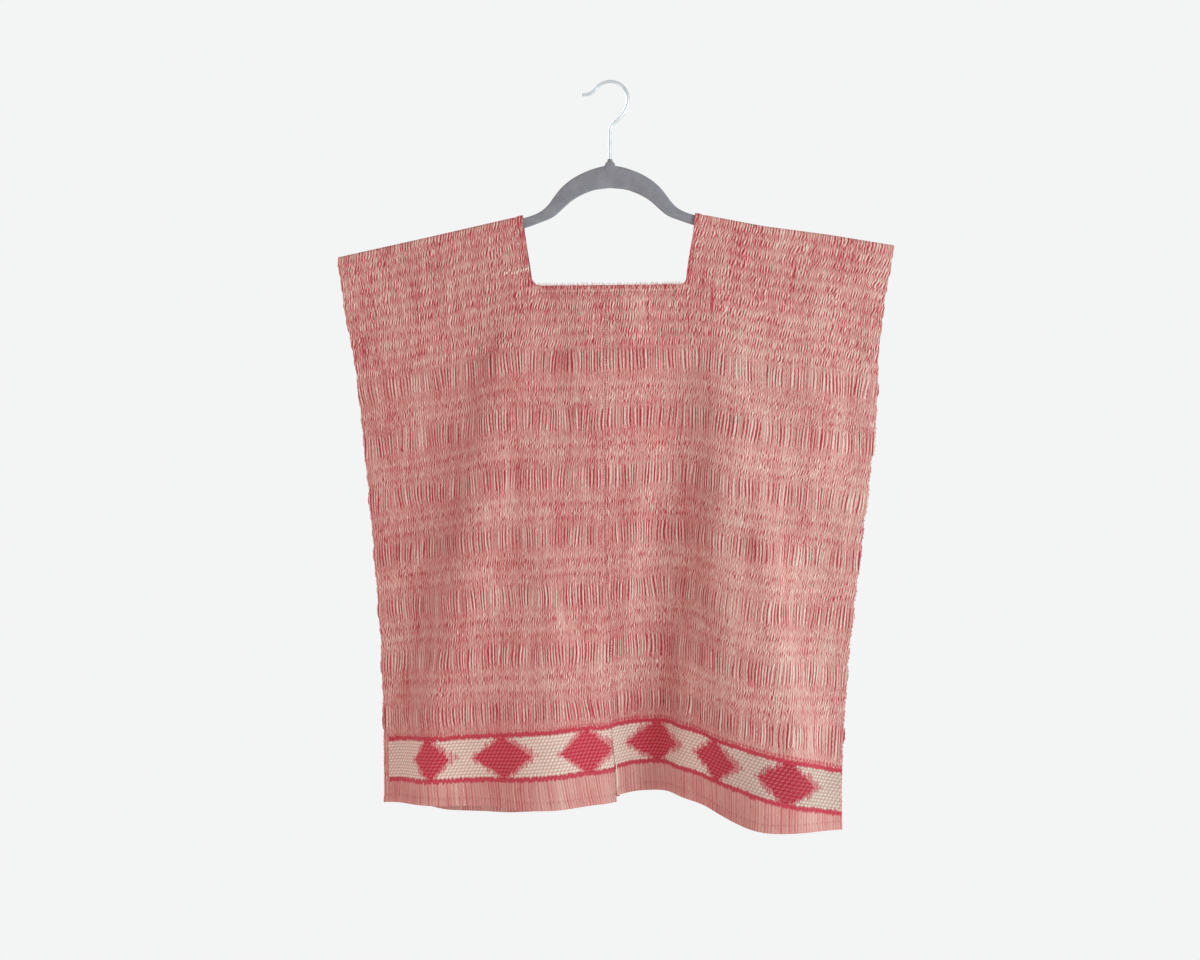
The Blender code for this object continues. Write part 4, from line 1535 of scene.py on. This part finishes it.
class Stitch(NamedTuple):
    """One kind of stitch: its length, how much that varies, its rise and its thread's radius."""

    long: float
    uneven: float
    rise: float
    thick: float = THREAD


def sway(count: int, seed: int) -> Grid:
    """Uneven numbers from -1 to 1, the same in each run."""
    return np.random.default_rng(seed).uniform(-1.0, 1.0, count)


def joined(parts: Sequence[tuple[Grid, ...]]) -> list[Grid]:
    """Several sets of grids joined into one set."""
    return [np.concatenate(kind) for kind in zip(*parts)]


def between(grid: Grid, row: Grid, column: Grid) -> Grid:
    """Values of a grid at places between its rows and columns."""
    r = np.minimum(row.astype(int), grid.shape[0] - 2)
    c = np.minimum(column.astype(int), grid.shape[1] - 2)
    dr, dc = (row - r)[:, None], (column - c)[:, None]
    upper = grid[r, c] * (1 - dc) + grid[r, c + 1] * dc
    lower = grid[r + 1, c] * (1 - dc) + grid[r + 1, c + 1] * dc
    return upper * (1 - dr) + lower * dr


@dataclass
class Sewing:
    """Hand sewing that follows the cloth: seams, neck, hem, a small mend and loose threads."""

    form: HangingForm
    webs: dict[Side, Web]
    seam_pitch: float = 0.0034
    side_pitch: float = 0.0052
    neck_pitch: float = 0.0046
    hem_pitch: float = 0.0062
    yarn_end_pitch: float = 0.0040
    lint_pitch: float = 0.0008
    seam_stitch: Stitch = Stitch(0.0034, 0.0006, 0.00045)
    neck_stitch: Stitch = Stitch(0.0030, 0.0007, 0.0005)
    yarn_end: Stitch = Stitch(0.0050, 0.0024, 0.0002, 0.0005)
    hem_stitch: Stitch = Stitch(0.0027, 0.0008, 0.0003)
    mend_stitch: Stitch = Stitch(0.0042, 0.0014, 0.0006, 0.0007)
    mend_down: float = 0.086
    mend_count: int = 11
    side_seam_from: float = 0.275
    side_seam_to: float = 0.962
    sides: int = 5
    face: float = field(init=False)
    grids: dict[Side, tuple[Grid, ...]] = field(init=False)

    def __post_init__(self) -> None:
        """Take each web's finished surface once, and how far the face is from its middle."""
        self.grids = {side: web.grid() for side, web in self.webs.items()}
        self.face = 0.5 * self.webs[Side.LEFT].thick

    def on_cloth(self, side: Side, wall: Wall, across: Grid, down: Grid) -> tuple[Grid, Grid]:
        """Points of the cloth's middle and outward normals at places on one web.

        Args:
            side: Which web.
            wall: Its front or its back.
            across: Distances from the centre seam, all of them positive.
            down: Shares down, as many.

        Returns:
            Points and unit normals.
        """
        web = self.webs[side]
        rows = len(web.rows)
        wanted = slice(-rows, None) if wall is Wall.FRONT else slice(rows - 1, None, -1)
        row = np.interp(down, web.rows, np.arange(rows))
        column = np.interp(across, web.columns, np.arange(len(web.columns)))
        points, normals = (between(grid[wanted], row, column) for grid in self.grids[side][:2])
        up = unit(normals)
        return points + up * web.relief.turned(side, side.value * across, down)[:, None], up

    def stitches(self, name: str, rows: Sequence[Row], kind: Stitch, seed: int) -> Thing:
        """Object of short arched stitches.

        Args:
            name: The object's name.
            rows: For each row, the points of the cloth's face under the stitches' middles, the
                ways that they run and the ways out of the cloth.
            kind: Size of the stitches.
            seed: Seed of their uneven lengths.

        Returns:
            The object.
        """
        middle, way, up = joined(rows)
        long = (kind.long + kind.uneven * sway(len(middle), seed))[:, None, None]
        shares = np.array([-1.0, -0.7, 0.0, 0.7, 1.0])
        path = middle[:, None] + 0.5 * long * shares[:, None] * unit(way)[:, None]
        path = path + (kind.rise * (1.0 - 1.6 * np.abs(shares) ** 2))[:, None] * up[:, None]
        return tubes(name, path, kind.thick * np.array([0.55, 0.95, 1.0, 0.95, 0.55]), up, self.sides)

    def centre_seam(self) -> Thing:
        """Joining stitches over the meeting edges of the two webs, front and back."""
        rows = []
        drop = self.form.right_neck_drop
        count = int((1.0 - drop) * self.form.length / self.seam_pitch)
        down, edge = np.linspace(drop + 0.012, 0.992, count), np.zeros(count)
        for wall in Wall:
            (left, left_up), (right, right_up) = (self.on_cloth(side, wall, edge, down) for side in Side)
            middle, up = 0.5 * (left + right), unit(left_up + right_up)
            fall = unit(np.gradient(middle, axis=0))
            slant = (0.35 + 0.25 * sway(count, 5 + wall.value))[:, None]
            way = unit(np.cross(fall, up)) + fall * slant
            rows.append((middle + up * (self.face - 0.5 * THREAD), way, up))
        return self.stitches("centre_seam_stitches", rows, self.seam_stitch, 9)

    def side_seam(self, side: Side) -> Thing:
        """Whip stitches that hold the front's selvedge to the back's."""
        run = (self.side_seam_to - self.side_seam_from) * self.form.length
        count = int(run / self.side_pitch)
        down = np.linspace(self.side_seam_from, self.side_seam_to, count)
        edge = np.full(count, self.form.web_width - 0.0004)
        front, back = (self.on_cloth(side, wall, edge, down)[0] for wall in Wall)
        middle, half = 0.5 * (front + back), 0.5 * (front - back)
        fall = unit(np.gradient(middle, axis=0))
        out = np.zeros_like(front)
        out[:, 0] = side.value
        out = unit(out - fall * np.sum(out * fall, axis=-1, keepdims=True))
        skew = fall * (0.0009 * sway(count, 21 + side.value))[:, None]
        reach = 1.0 + self.face / np.maximum(np.linalg.norm(half, axis=-1, keepdims=True), 1e-6)
        path = []
        for share in np.linspace(-1.0, 1.0, 7):
            wrap = 0.0026 * math.sqrt(max(0.0, 1.0 - share**2)) - 0.0016
            path.append(middle + half * share * reach + out * wrap + skew * share)
        radii = THREAD * np.array([0.5, 0.9, 1.0, 1.0, 1.0, 0.9, 0.5])
        return tubes(f"{side.name.lower()}_side_stitches", np.stack(path, axis=1), radii, fall, self.sides)

    def edge_row(self, side: Side, wall: Wall, across: Grid, down: Grid, seed: int) -> Row:
        """A row of slanted stitches along an edge, as stitches takes it."""
        points, up = self.on_cloth(side, wall, across, down)
        fall = unit(np.gradient(points, axis=0))
        slant = 0.55 + 0.3 * sway(len(points), seed)
        return points + up * (self.face - 0.2 * THREAD), np.cross(fall, up) + fall * slant[:, None], up

    def neck(self) -> Thing:
        """Whip stitches along the turned edge of the neck."""
        form, inset = self.form, self.webs[Side.LEFT].relief.neck_turn_wide
        rows = []
        for side, wall, seed in ROWS:
            drop, round_ = form.neck_drop(side), form.neck_round(side)
            count = int((drop * form.length - round_) / self.neck_pitch)
            down = np.linspace(0.012, drop - round_ / form.length, count)
            across = np.full(count, form.neck_half + inset)
            rows.append(self.edge_row(side, wall, across, down, 40 + seed))
            wide = form.neck_half - round_
            count = int(wide / self.neck_pitch)
            down = np.full(count, drop + inset / form.length)
            rows.append(self.edge_row(side, wall, np.linspace(0.004, wide, count), down, 41 + seed))
        return self.stitches("neck_stitches", rows, self.neck_stitch, 33)

    def neck_foot(self, side: Side, wall: Wall, places: Grid, below: float) -> tuple[Grid, Grid]:
        """Points and normals at a distance below the neck's lower edge."""
        down = np.full(len(places), self.form.neck_drop(side) + below / self.form.length)
        return self.on_cloth(side, wall, places, down)

    def neck_edge(self) -> Thing:
        """Crimson yarn ends that the neck's lower edge is bound with."""
        rows = []
        for side, wall, seed in ROWS:
            wide = self.form.neck_half - self.form.neck_round(side)
            count = int(wide / self.yarn_end_pitch)
            places = np.linspace(0.002, wide, count) + 0.0022 * sway(count, 67 + seed)
            points, up = self.neck_foot(side, wall, places, 0.0026)
            run = np.gradient(points, axis=0)
            slant = 0.35 * sway(count, 71 + seed)[:, None]
            rows.append((points + up * self.face, np.cross(unit(run), up) + slant * run * 300.0, up))
        return self.stitches("neck_edge_stitches", rows, self.yarn_end, 77)

    def neck_lint(self) -> Thing:
        """Fine pale hairs that stand up from the neck's lower edge."""
        parts = []
        for side, wall, seed in ROWS:
            wide = self.form.neck_half - 0.6 * self.form.neck_round(side)
            count = int(wide / self.lint_pitch)
            places = np.linspace(0.001, wide, count) + self.lint_pitch * sway(count, 81 + seed)
            points, up = self.neck_foot(side, wall, places, 0.0006)
            lean, curl, long = (sway(count, 81 + seed + kind)[:, None] for kind in (10, 20, 30))
            rise = np.array([[0.0, 0.0, 1.0]]) * (0.0034 + 0.0014 * long)
            aside = np.array([[1.0, 0.0, 0.0]]) * 0.0014 * lean
            path = [
                points + rise * share + aside * share**2 + up * (0.0006 + 0.0008 * curl) * share**2
                for share in np.linspace(0.0, 1.0, 5)
            ]
            parts.append((np.stack(path, axis=1), up))
        path, up = joined(parts)
        return tubes("neck_edge_lint", path, [0.00022, 0.0002, 0.00018, 0.00015, 0.0001], up, 4)

    def hem(self) -> Thing:
        """Running stitches that hold the turned hem, front and back."""
        form = self.form
        count = int(form.web_width / self.hem_pitch)
        across = np.linspace(0.004, form.web_width - 0.004, count)
        above = self.webs[Side.LEFT].relief.hem_turn_wide * 1.08
        down = np.full(count, 1.0 - above / form.length)
        rows = []
        for side, wall, _ in ROWS:
            points, up = self.on_cloth(side, wall, across, down)
            rows.append((points + up * self.face, np.gradient(points, axis=0), up))
        return self.stitches("hem_stitches", rows, self.hem_stitch, 51)

    def mend(self) -> Thing:
        """Cream stitches of a short mend beside the neck's left corner."""
        count, start = self.mend_count, self.form.neck_half
        across = np.linspace(start + 0.001, start + 0.029, count)
        down = np.full(count, self.mend_down) + 0.004 * sway(count, 61)
        points, up = self.on_cloth(Side.LEFT, Wall.FRONT, across, down)
        way = np.zeros_like(points)
        way[:, 0], way[:, 2] = 0.25 + 0.3 * sway(count, 63), 1.0
        row = (points + up * self.face, way, up)
        return self.stitches("neck_mend_stitches", [row], self.mend_stitch, 65)

    def strand(self, name: str, places: Sequence[tuple[float, float]], thick: float) -> Thing:
        """A single thread that lies on the front of the right web through given places.

        Args:
            name: The object's name.
            places: Pairs of distance from the centre seam and share down.
            thick: The thread's radius.

        Returns:
            The object.
        """
        shares, steps = np.linspace(0.0, 1.0, 24), np.linspace(0.0, 1.0, len(places))
        across, down = (np.interp(shares, steps, measure) for measure in zip(*places))
        points, up = self.on_cloth(Side.RIGHT, Wall.FRONT, across, down)
        points = points + up * (self.face + 0.2 * thick)
        radii = thick * np.sin(np.pi * np.clip(shares, 0.04, 0.96)) ** 0.35
        return tubes(name, points[None], radii, up.mean(axis=0)[None], self.sides)


# ---- hanger
class ArchPoint(NamedTuple):
    """Top and bottom edge of the hanger's arch at one place across."""

    across: float
    top: float
    bottom: float


BOSS_TOP = -0.0922


@dataclass(frozen=True)
class Hanger:
    """Slim hanger: flocked arch and arms, with a small block that holds the hook."""

    thick: float = 0.0055
    edge_round: float = 0.0022
    arm_high: float = 0.0125
    arm_slope: float = math.radians(13.0)
    arm_reach: float = 0.221
    arm_start: float = 0.1015
    boss_half: float = 0.0062
    corner_steps: int = 4
    arch: tuple[ArchPoint, ...] = table(
        ArchPoint,
        (0.0000, -0.0965, -0.1240), (0.0165, -0.1002, -0.1258), (0.0310, -0.1053, -0.1305),
        (0.0450, -0.1127, -0.1382), (0.0590, -0.1243, -0.1503), (0.0660, -0.1330, -0.1562),
        (0.0730, -0.1425, -0.1600), (0.0800, -0.1490, -0.1625), (0.0900, -0.1543, -0.1662),
        (0.1015, -0.1580, -0.1700),
    )

    def heights(self, x: float) -> tuple[float, float]:
        """Top and bottom of the hanger at a distance from its middle."""
        x = abs(x)
        if x <= self.arm_start:
            places, tops, bottoms = zip(*self.arch)
            top, bottom = (float(smooth_curve(places, edge, x)) for edge in (tops, bottoms))
        else:
            fall = (x - self.arm_start) * math.tan(self.arm_slope)
            top, bottom = self.arch[-1].top - fall, self.arch[-1].bottom - fall
        tip = 0.5 * self.arm_high
        past = x - (self.arm_reach - tip)
        if past > 0.0:
            middle = 0.5 * (top + bottom)
            half = math.sqrt(max(tip**2 - past**2, (0.2 * tip) ** 2))
            top, bottom = middle + half, middle - half
        if x <= self.boss_half:
            top += (BOSS_TOP - top) * math.sqrt(1.0 - (x / self.boss_half) ** 2)
        return top, bottom

    def ring(self, x: float) -> list[Triple]:
        """Section of the hanger at one place, with rounded edges."""
        top, bottom = self.heights(x)
        half = 0.5 * self.thick
        r = min(self.edge_round, 0.42 * (top - bottom))
        right, left, upper, lower = half - r, r - half, top - r, bottom + r
        ring = []
        for corner, (y, z) in enumerate(((right, upper), (left, upper), (left, lower), (right, lower))):
            for step in range(self.corner_steps + 1):
                angle = 0.5 * math.pi * (corner + step / self.corner_steps)
                ring.append((x, y + r * math.cos(angle), z + r * math.sin(angle)))
        return ring

    def build(self) -> Thing:
        """The flocked body of the hanger."""
        boss = self.boss_half * np.array([0.0, 0.2, 0.4, 0.6, 0.75, 0.87, 0.95, 0.99, 1.0])
        arch = np.linspace(self.boss_half + 0.0012, self.arm_start, 60)
        tip = 0.5 * self.arm_high
        arm = np.linspace(self.arm_start, self.arm_reach - tip, 14)[1:]
        end = self.arm_reach - tip * (1.0 - np.sin(np.radians([18, 34, 48, 60, 70, 78])))
        half = np.concatenate((boss, arch, arm, end))
        places = np.concatenate((-half[:0:-1], half))
        return loft("hanger_body_flocked", np.array([self.ring(x) for x in places]))

    def moulding_line(self) -> Thing:
        """The fine raised line along the hanger's top, where its two halves meet."""
        near, far, count = self.boss_half, self.arm_start, 60
        places = np.array((np.linspace(-far, -near, count), np.linspace(near, far, count)))
        tops = np.array([[self.heights(x)[0] for x in run] for run in places])
        path = np.stack((places, np.zeros_like(places), tops - 0.00012), axis=-1)
        return tubes("hanger_top_line", path, np.full(count, 0.0003), np.array([[0.0, 1.0, 0.0]] * 2), 6)


def loft(name: str, rings: Grid) -> Thing:
    """Closed solid through rings of points, each with as many points, with flat ends."""
    count, sides = rings.shape[:2]
    last = (count - 1) * sides
    ring = np.arange(sides)
    after = (ring + 1) % sides
    faces = [tuple(ring[::-1])]
    for a in range(0, last, sides):
        faces.extend(zip(a + ring, a + after, a + sides + after, a + sides + ring))
    return make_object(name, rings.reshape(-1, 3), faces + [tuple(last + ring)])


@dataclass(frozen=True)
class Hook:
    """Bent wire hook with a small collar at its foot."""

    wire: float = 0.0019
    radius: float = 0.0215
    start_angle: float = -20.0
    end_angle: float = 142.0
    tip_flare: float = 0.0165
    stem_top: float = -0.058
    stem_gap: float = 0.0003
    swan_lead: float = 0.022
    sides: int = 20
    collar_high: float = 0.0030
    collar_radius: float = 0.0031

    def path(self) -> Grid:
        """Points along the middle of the wire, from its foot to its tip."""
        centre_z = self.wire - self.radius
        start, end = math.radians(self.start_angle), math.radians(self.end_angle)
        first = np.array([self.radius * math.cos(start), centre_z + self.radius * math.sin(start)])
        foot = np.array([0.0, BOSS_TOP + self.stem_gap])
        stem = np.array([0.0, self.stem_top])
        leave = stem + [0.0, 0.6 * self.swan_lead]
        arrive = first + [self.swan_lead * math.sin(start), -self.swan_lead * math.cos(start)]
        parts = [foot + (stem - foot) * share for share in np.linspace(0.0, 1.0, 12)]
        parts += [bezier(stem, leave, arrive, first, share) for share in np.linspace(0.0, 1.0, 26)[1:-1]]
        for angle in np.linspace(start, end, 48):
            parts.append(np.array([math.cos(angle), math.sin(angle)]) * self.radius + [0.0, centre_z])
        last = parts[-1]
        flare = self.tip_flare
        leave = last + [-0.4 * flare * math.sin(end), 0.4 * flare * math.cos(end)]
        tip = last + [-0.92 * flare, -0.42 * flare]
        arrive = tip + [0.4 * flare, 0.0]
        parts += [bezier(last, leave, arrive, tip, share) for share in np.linspace(0.0, 1.0, 18)[1:]]
        flat = np.array(parts)
        return np.stack((flat[:, 0], np.zeros(len(flat)), flat[:, 1]), axis=-1)

    def build(self) -> Thing:
        """The wire, its tip rounded over."""
        path = self.path()
        way, dome = unit(path[-1] - path[-2]), np.radians((30, 55, 75))
        radii = np.concatenate((np.full(len(path), self.wire), self.wire * np.cos(dome)))
        path = np.concatenate((path, path[-1] + way * self.wire * np.sin(dome)[:, None]))
        return tubes("hanger_hook_wire", path[None], radii, np.array([[0.0, 1.0, 0.0]]), self.sides)

    def collar(self) -> Thing:
        """The small pale ring that closes the block round the wire's foot."""
        foot = BOSS_TOP - 0.0006
        inner = self.wire + 0.0002
        wide, high = self.collar_radius, self.collar_high
        profile = (
            (inner, 0.0), (wide, 0.0), (wide, 0.45 * high), (0.93 * wide, 0.75 * high),
            (0.78 * wide, 0.95 * high), (inner, high),
        )
        verts, faces, count = [], [], len(profile)
        for step in range(self.sides):
            angle = 2.0 * math.pi * step / self.sides
            here, there = step * count, (step + 1) % self.sides * count
            for p, (radius, rise) in enumerate(profile):
                q = (p + 1) % count
                verts.append((radius * math.cos(angle), radius * math.sin(angle), foot + rise))
                faces.append((here + p, there + p, there + q, here + q))
        return make_object("hanger_hook_collar", np.array(verts), faces, 40.0)


def bezier(a: Grid, b: Grid, c: Grid, d: Grid, share: float) -> Grid:
    """Point at a share of a cubic curve."""
    rest = 1.0 - share
    return rest**3 * a + 3 * share * rest**2 * b + 3 * share**2 * rest * c + share**3 * d


# ---- studio
def aim(name: str, data: bpy.types.ID, place: Sequence[float], way: Vector) -> Thing:
    """Object of a light or camera at a place, turned a way."""
    thing = bpy.data.objects.new(name, data)
    thing.location = place
    thing.rotation_euler = way.to_track_quat("-Z", "Y").to_euler()
    bpy.context.scene.collection.objects.link(thing)
    return thing


@dataclass(frozen=True)
class Lamp:
    """A soft area light."""

    name: str
    place: Triple
    size: float
    watts: float
    tint: Triple = (1.0, 1.0, 1.0)

    def build(self, target: Vector) -> Thing:
        """The light, turned towards a point."""
        light = bpy.data.lights.new(self.name, "AREA")
        light.shape = "SQUARE"
        light.size = self.size
        light.energy = self.watts
        light.color = self.tint
        return aim(self.name, light, self.place, target - Vector(self.place))


@dataclass(frozen=True)
class Studio:
    """Pale floor, pale surroundings and soft light, stronger from the right."""

    floor_height: float = -1.62
    floor_radius: float = 1.5
    floor_sides: int = 96
    sky: Color = (0.90, 0.905, 0.905, 1.0)
    fill: Color = (0.657, 0.550, 0.542, 1.0)
    target: Triple = (0.0, 0.0, -0.5)
    lamps: tuple[Lamp, ...] = (
        Lamp("window_light", (1.75, -1.1, -0.40), 1.1, 32.0, (0.80, 1.10, 1.12)),
        Lamp("low_reflector", (-1.15, -0.55, -1.05), 0.7, 2.8, (1.0, 0.97, 0.96)),
        Lamp("floor_bounce", (-0.35, -1.20, -1.45), 0.9, 1.9, (0.90, 1.04, 1.06)),
        Lamp("rear_light", (-1.8, 2.2, 0.9), 1.6, 52.0, (0.80, 1.10, 1.12)),
    )

    def build(self) -> None:
        """Make the floor, the surroundings and the lights."""
        angles = np.arange(self.floor_sides) * 2.0 * math.pi / self.floor_sides
        rim = np.stack((np.cos(angles), np.sin(angles), np.zeros(len(angles))), axis=-1)
        rim = rim * self.floor_radius + (0.0, 0.0, self.floor_height)
        floor = make_object("studio_floor", rim, [tuple(range(self.floor_sides))])
        floor.data.materials.append(StudioPaper().make())
        for lamp in self.lamps:
            lamp.build(Vector(self.target))
        world = bpy.data.worlds.new("studio_surroundings")
        world.use_nodes = True
        bench = Bench(world.node_tree)
        path = bench.node("ShaderNodeLightPath").outputs
        seen = bench.top(path["Is Camera Ray"], path["Is Glossy Ray"])
        backdrop = world.node_tree.nodes["Background"].inputs["Color"]
        bench.join(backdrop, bench.blend(seen, self.fill, self.sky))
        scene = bpy.context.scene
        scene.world = world
        scene.view_settings.view_transform = "Standard"
        scene.view_settings.look = "None"
        LOG.info("studio: floor, surroundings and %d lights", len(self.lamps))


@dataclass(frozen=True)
class Viewpoint:
    """Level camera a little to the right of the blouse's middle."""

    azimuth: float = math.radians(5.0)
    distance: float = 1.9
    height: float = -0.4685
    aside: float = -0.0118
    lens: float = 48.3
    sensor: float = 36.0

    def build(self) -> None:
        """Make the camera and give it to the scene."""
        back = Vector((math.sin(self.azimuth), -math.cos(self.azimuth), 0.0))
        right = Vector((math.cos(self.azimuth), math.sin(self.azimuth), 0.0))
        data = bpy.data.cameras.new("viewpoint")
        data.sensor_fit = "HORIZONTAL"
        data.sensor_width = self.sensor
        data.lens = self.lens
        place = back * self.distance + right * self.aside + Vector((0.0, 0.0, self.height))
        bpy.context.scene.camera = aim("viewpoint", data, place, -back)


BORDERS = {
    # It bows up towards the centre seam.
    Side.LEFT: BorderLayout(
        diamonds=table(DiamondPlace, (-0.250, 0.0245), (-0.1535, 0.0415), (-0.038, 0.0370)),
        bow=table(
            BowPoint,
            (-0.333, 0.0040), (-0.285, 0.0038), (-0.210, 0.0005), (-0.150, -0.0022), (-0.100, -0.0068),
            (-0.050, -0.0085), (0.000, -0.0105),
        ),
        margin_start=-0.326,
        margin_end=0.01,
        half_share=0.0375,
    ),
    # It drops to the side seam.
    Side.RIGHT: BorderLayout(
        diamonds=table(DiamondPlace, (0.0595, 0.0395), (0.158, 0.0310), (0.257, 0.0370)),
        bow=table(
            BowPoint,
            (0.000, -0.0037), (0.056, -0.0045), (0.100, -0.0022), (0.150, -0.0050), (0.197, -0.0087),
            (0.222, -0.0070), (0.250, 0.0005), (0.275, 0.0080), (0.300, 0.0137), (0.333, 0.0215),
        ),
        margin_start=-0.01,
        margin_end=0.3315,
        half_share=0.0357,
    ),
}


def main() -> None:
    """Build and dress each sub-assembly in turn."""
    logging.basicConfig(level=logging.INFO, format="%(message)s")
    Viewpoint().build()
    Studio().build()

    form, plan = HangingForm(), WeavePlan()
    relief = ClothRelief(form, plan)
    cotton = WovenCotton(plan)
    webs = {side: Web(side, form, relief, BORDERS[side]) for side in Side}

    hanger, hook = Hanger(), Hook()
    flock = Flock().make()
    hanger_body = dress(hanger.build(), flock)
    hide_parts("hanger_body")
    dress(hanger.moulding_line(), flock)
    wire = dress(hook.build(), BrightWire().make())
    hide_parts("hanger_hook")
    dress(hook.collar(), flock)

    sewing = Sewing(form, webs)
    pink, rose, red, blush, cream = (
        SewingThread(name, paint(*shade)).make()
        for name, shade in (
            ("pink_thread", (176, 100, 98)), ("rose_thread", (190, 112, 108)),
            ("crimson_thread", (184, 48, 66)), ("blush_yarn", (216, 172, 160)),
            ("cream_thread", (248, 226, 212)),
        )
    )
    pulled = ((0.1310, 0.116), (0.1325, 0.135), (0.1316, 0.162))
    tail = ((0.0030, 0.944), (0.0034, 0.990))
    sewn = {
        Side.LEFT: [
            (sewing.centre_seam(), pink), (sewing.side_seam(Side.LEFT), pink), (sewing.neck(), rose),
            (sewing.neck_edge(), red), (sewing.neck_lint(), blush), (sewing.hem(), rose),
            (sewing.mend(), cream),
        ],
        Side.RIGHT: [
            (sewing.side_seam(Side.RIGHT), pink),
            (sewing.strand("pulled_thread", pulled, 0.0009), red),
            (sewing.strand("seam_tail_thread", tail, 0.0008), cream),
        ],
    }
    for side, web in webs.items():
        on_web = [dress(thing, thread) for thing, thread in sewn[side]]
        cloth = cotton.make(f"{side.name.lower()}_web_cotton", web.border, form.length)
        web.declare(dress(web.build(), cloth), on_web)


if __name__ == "__main__":
    main()
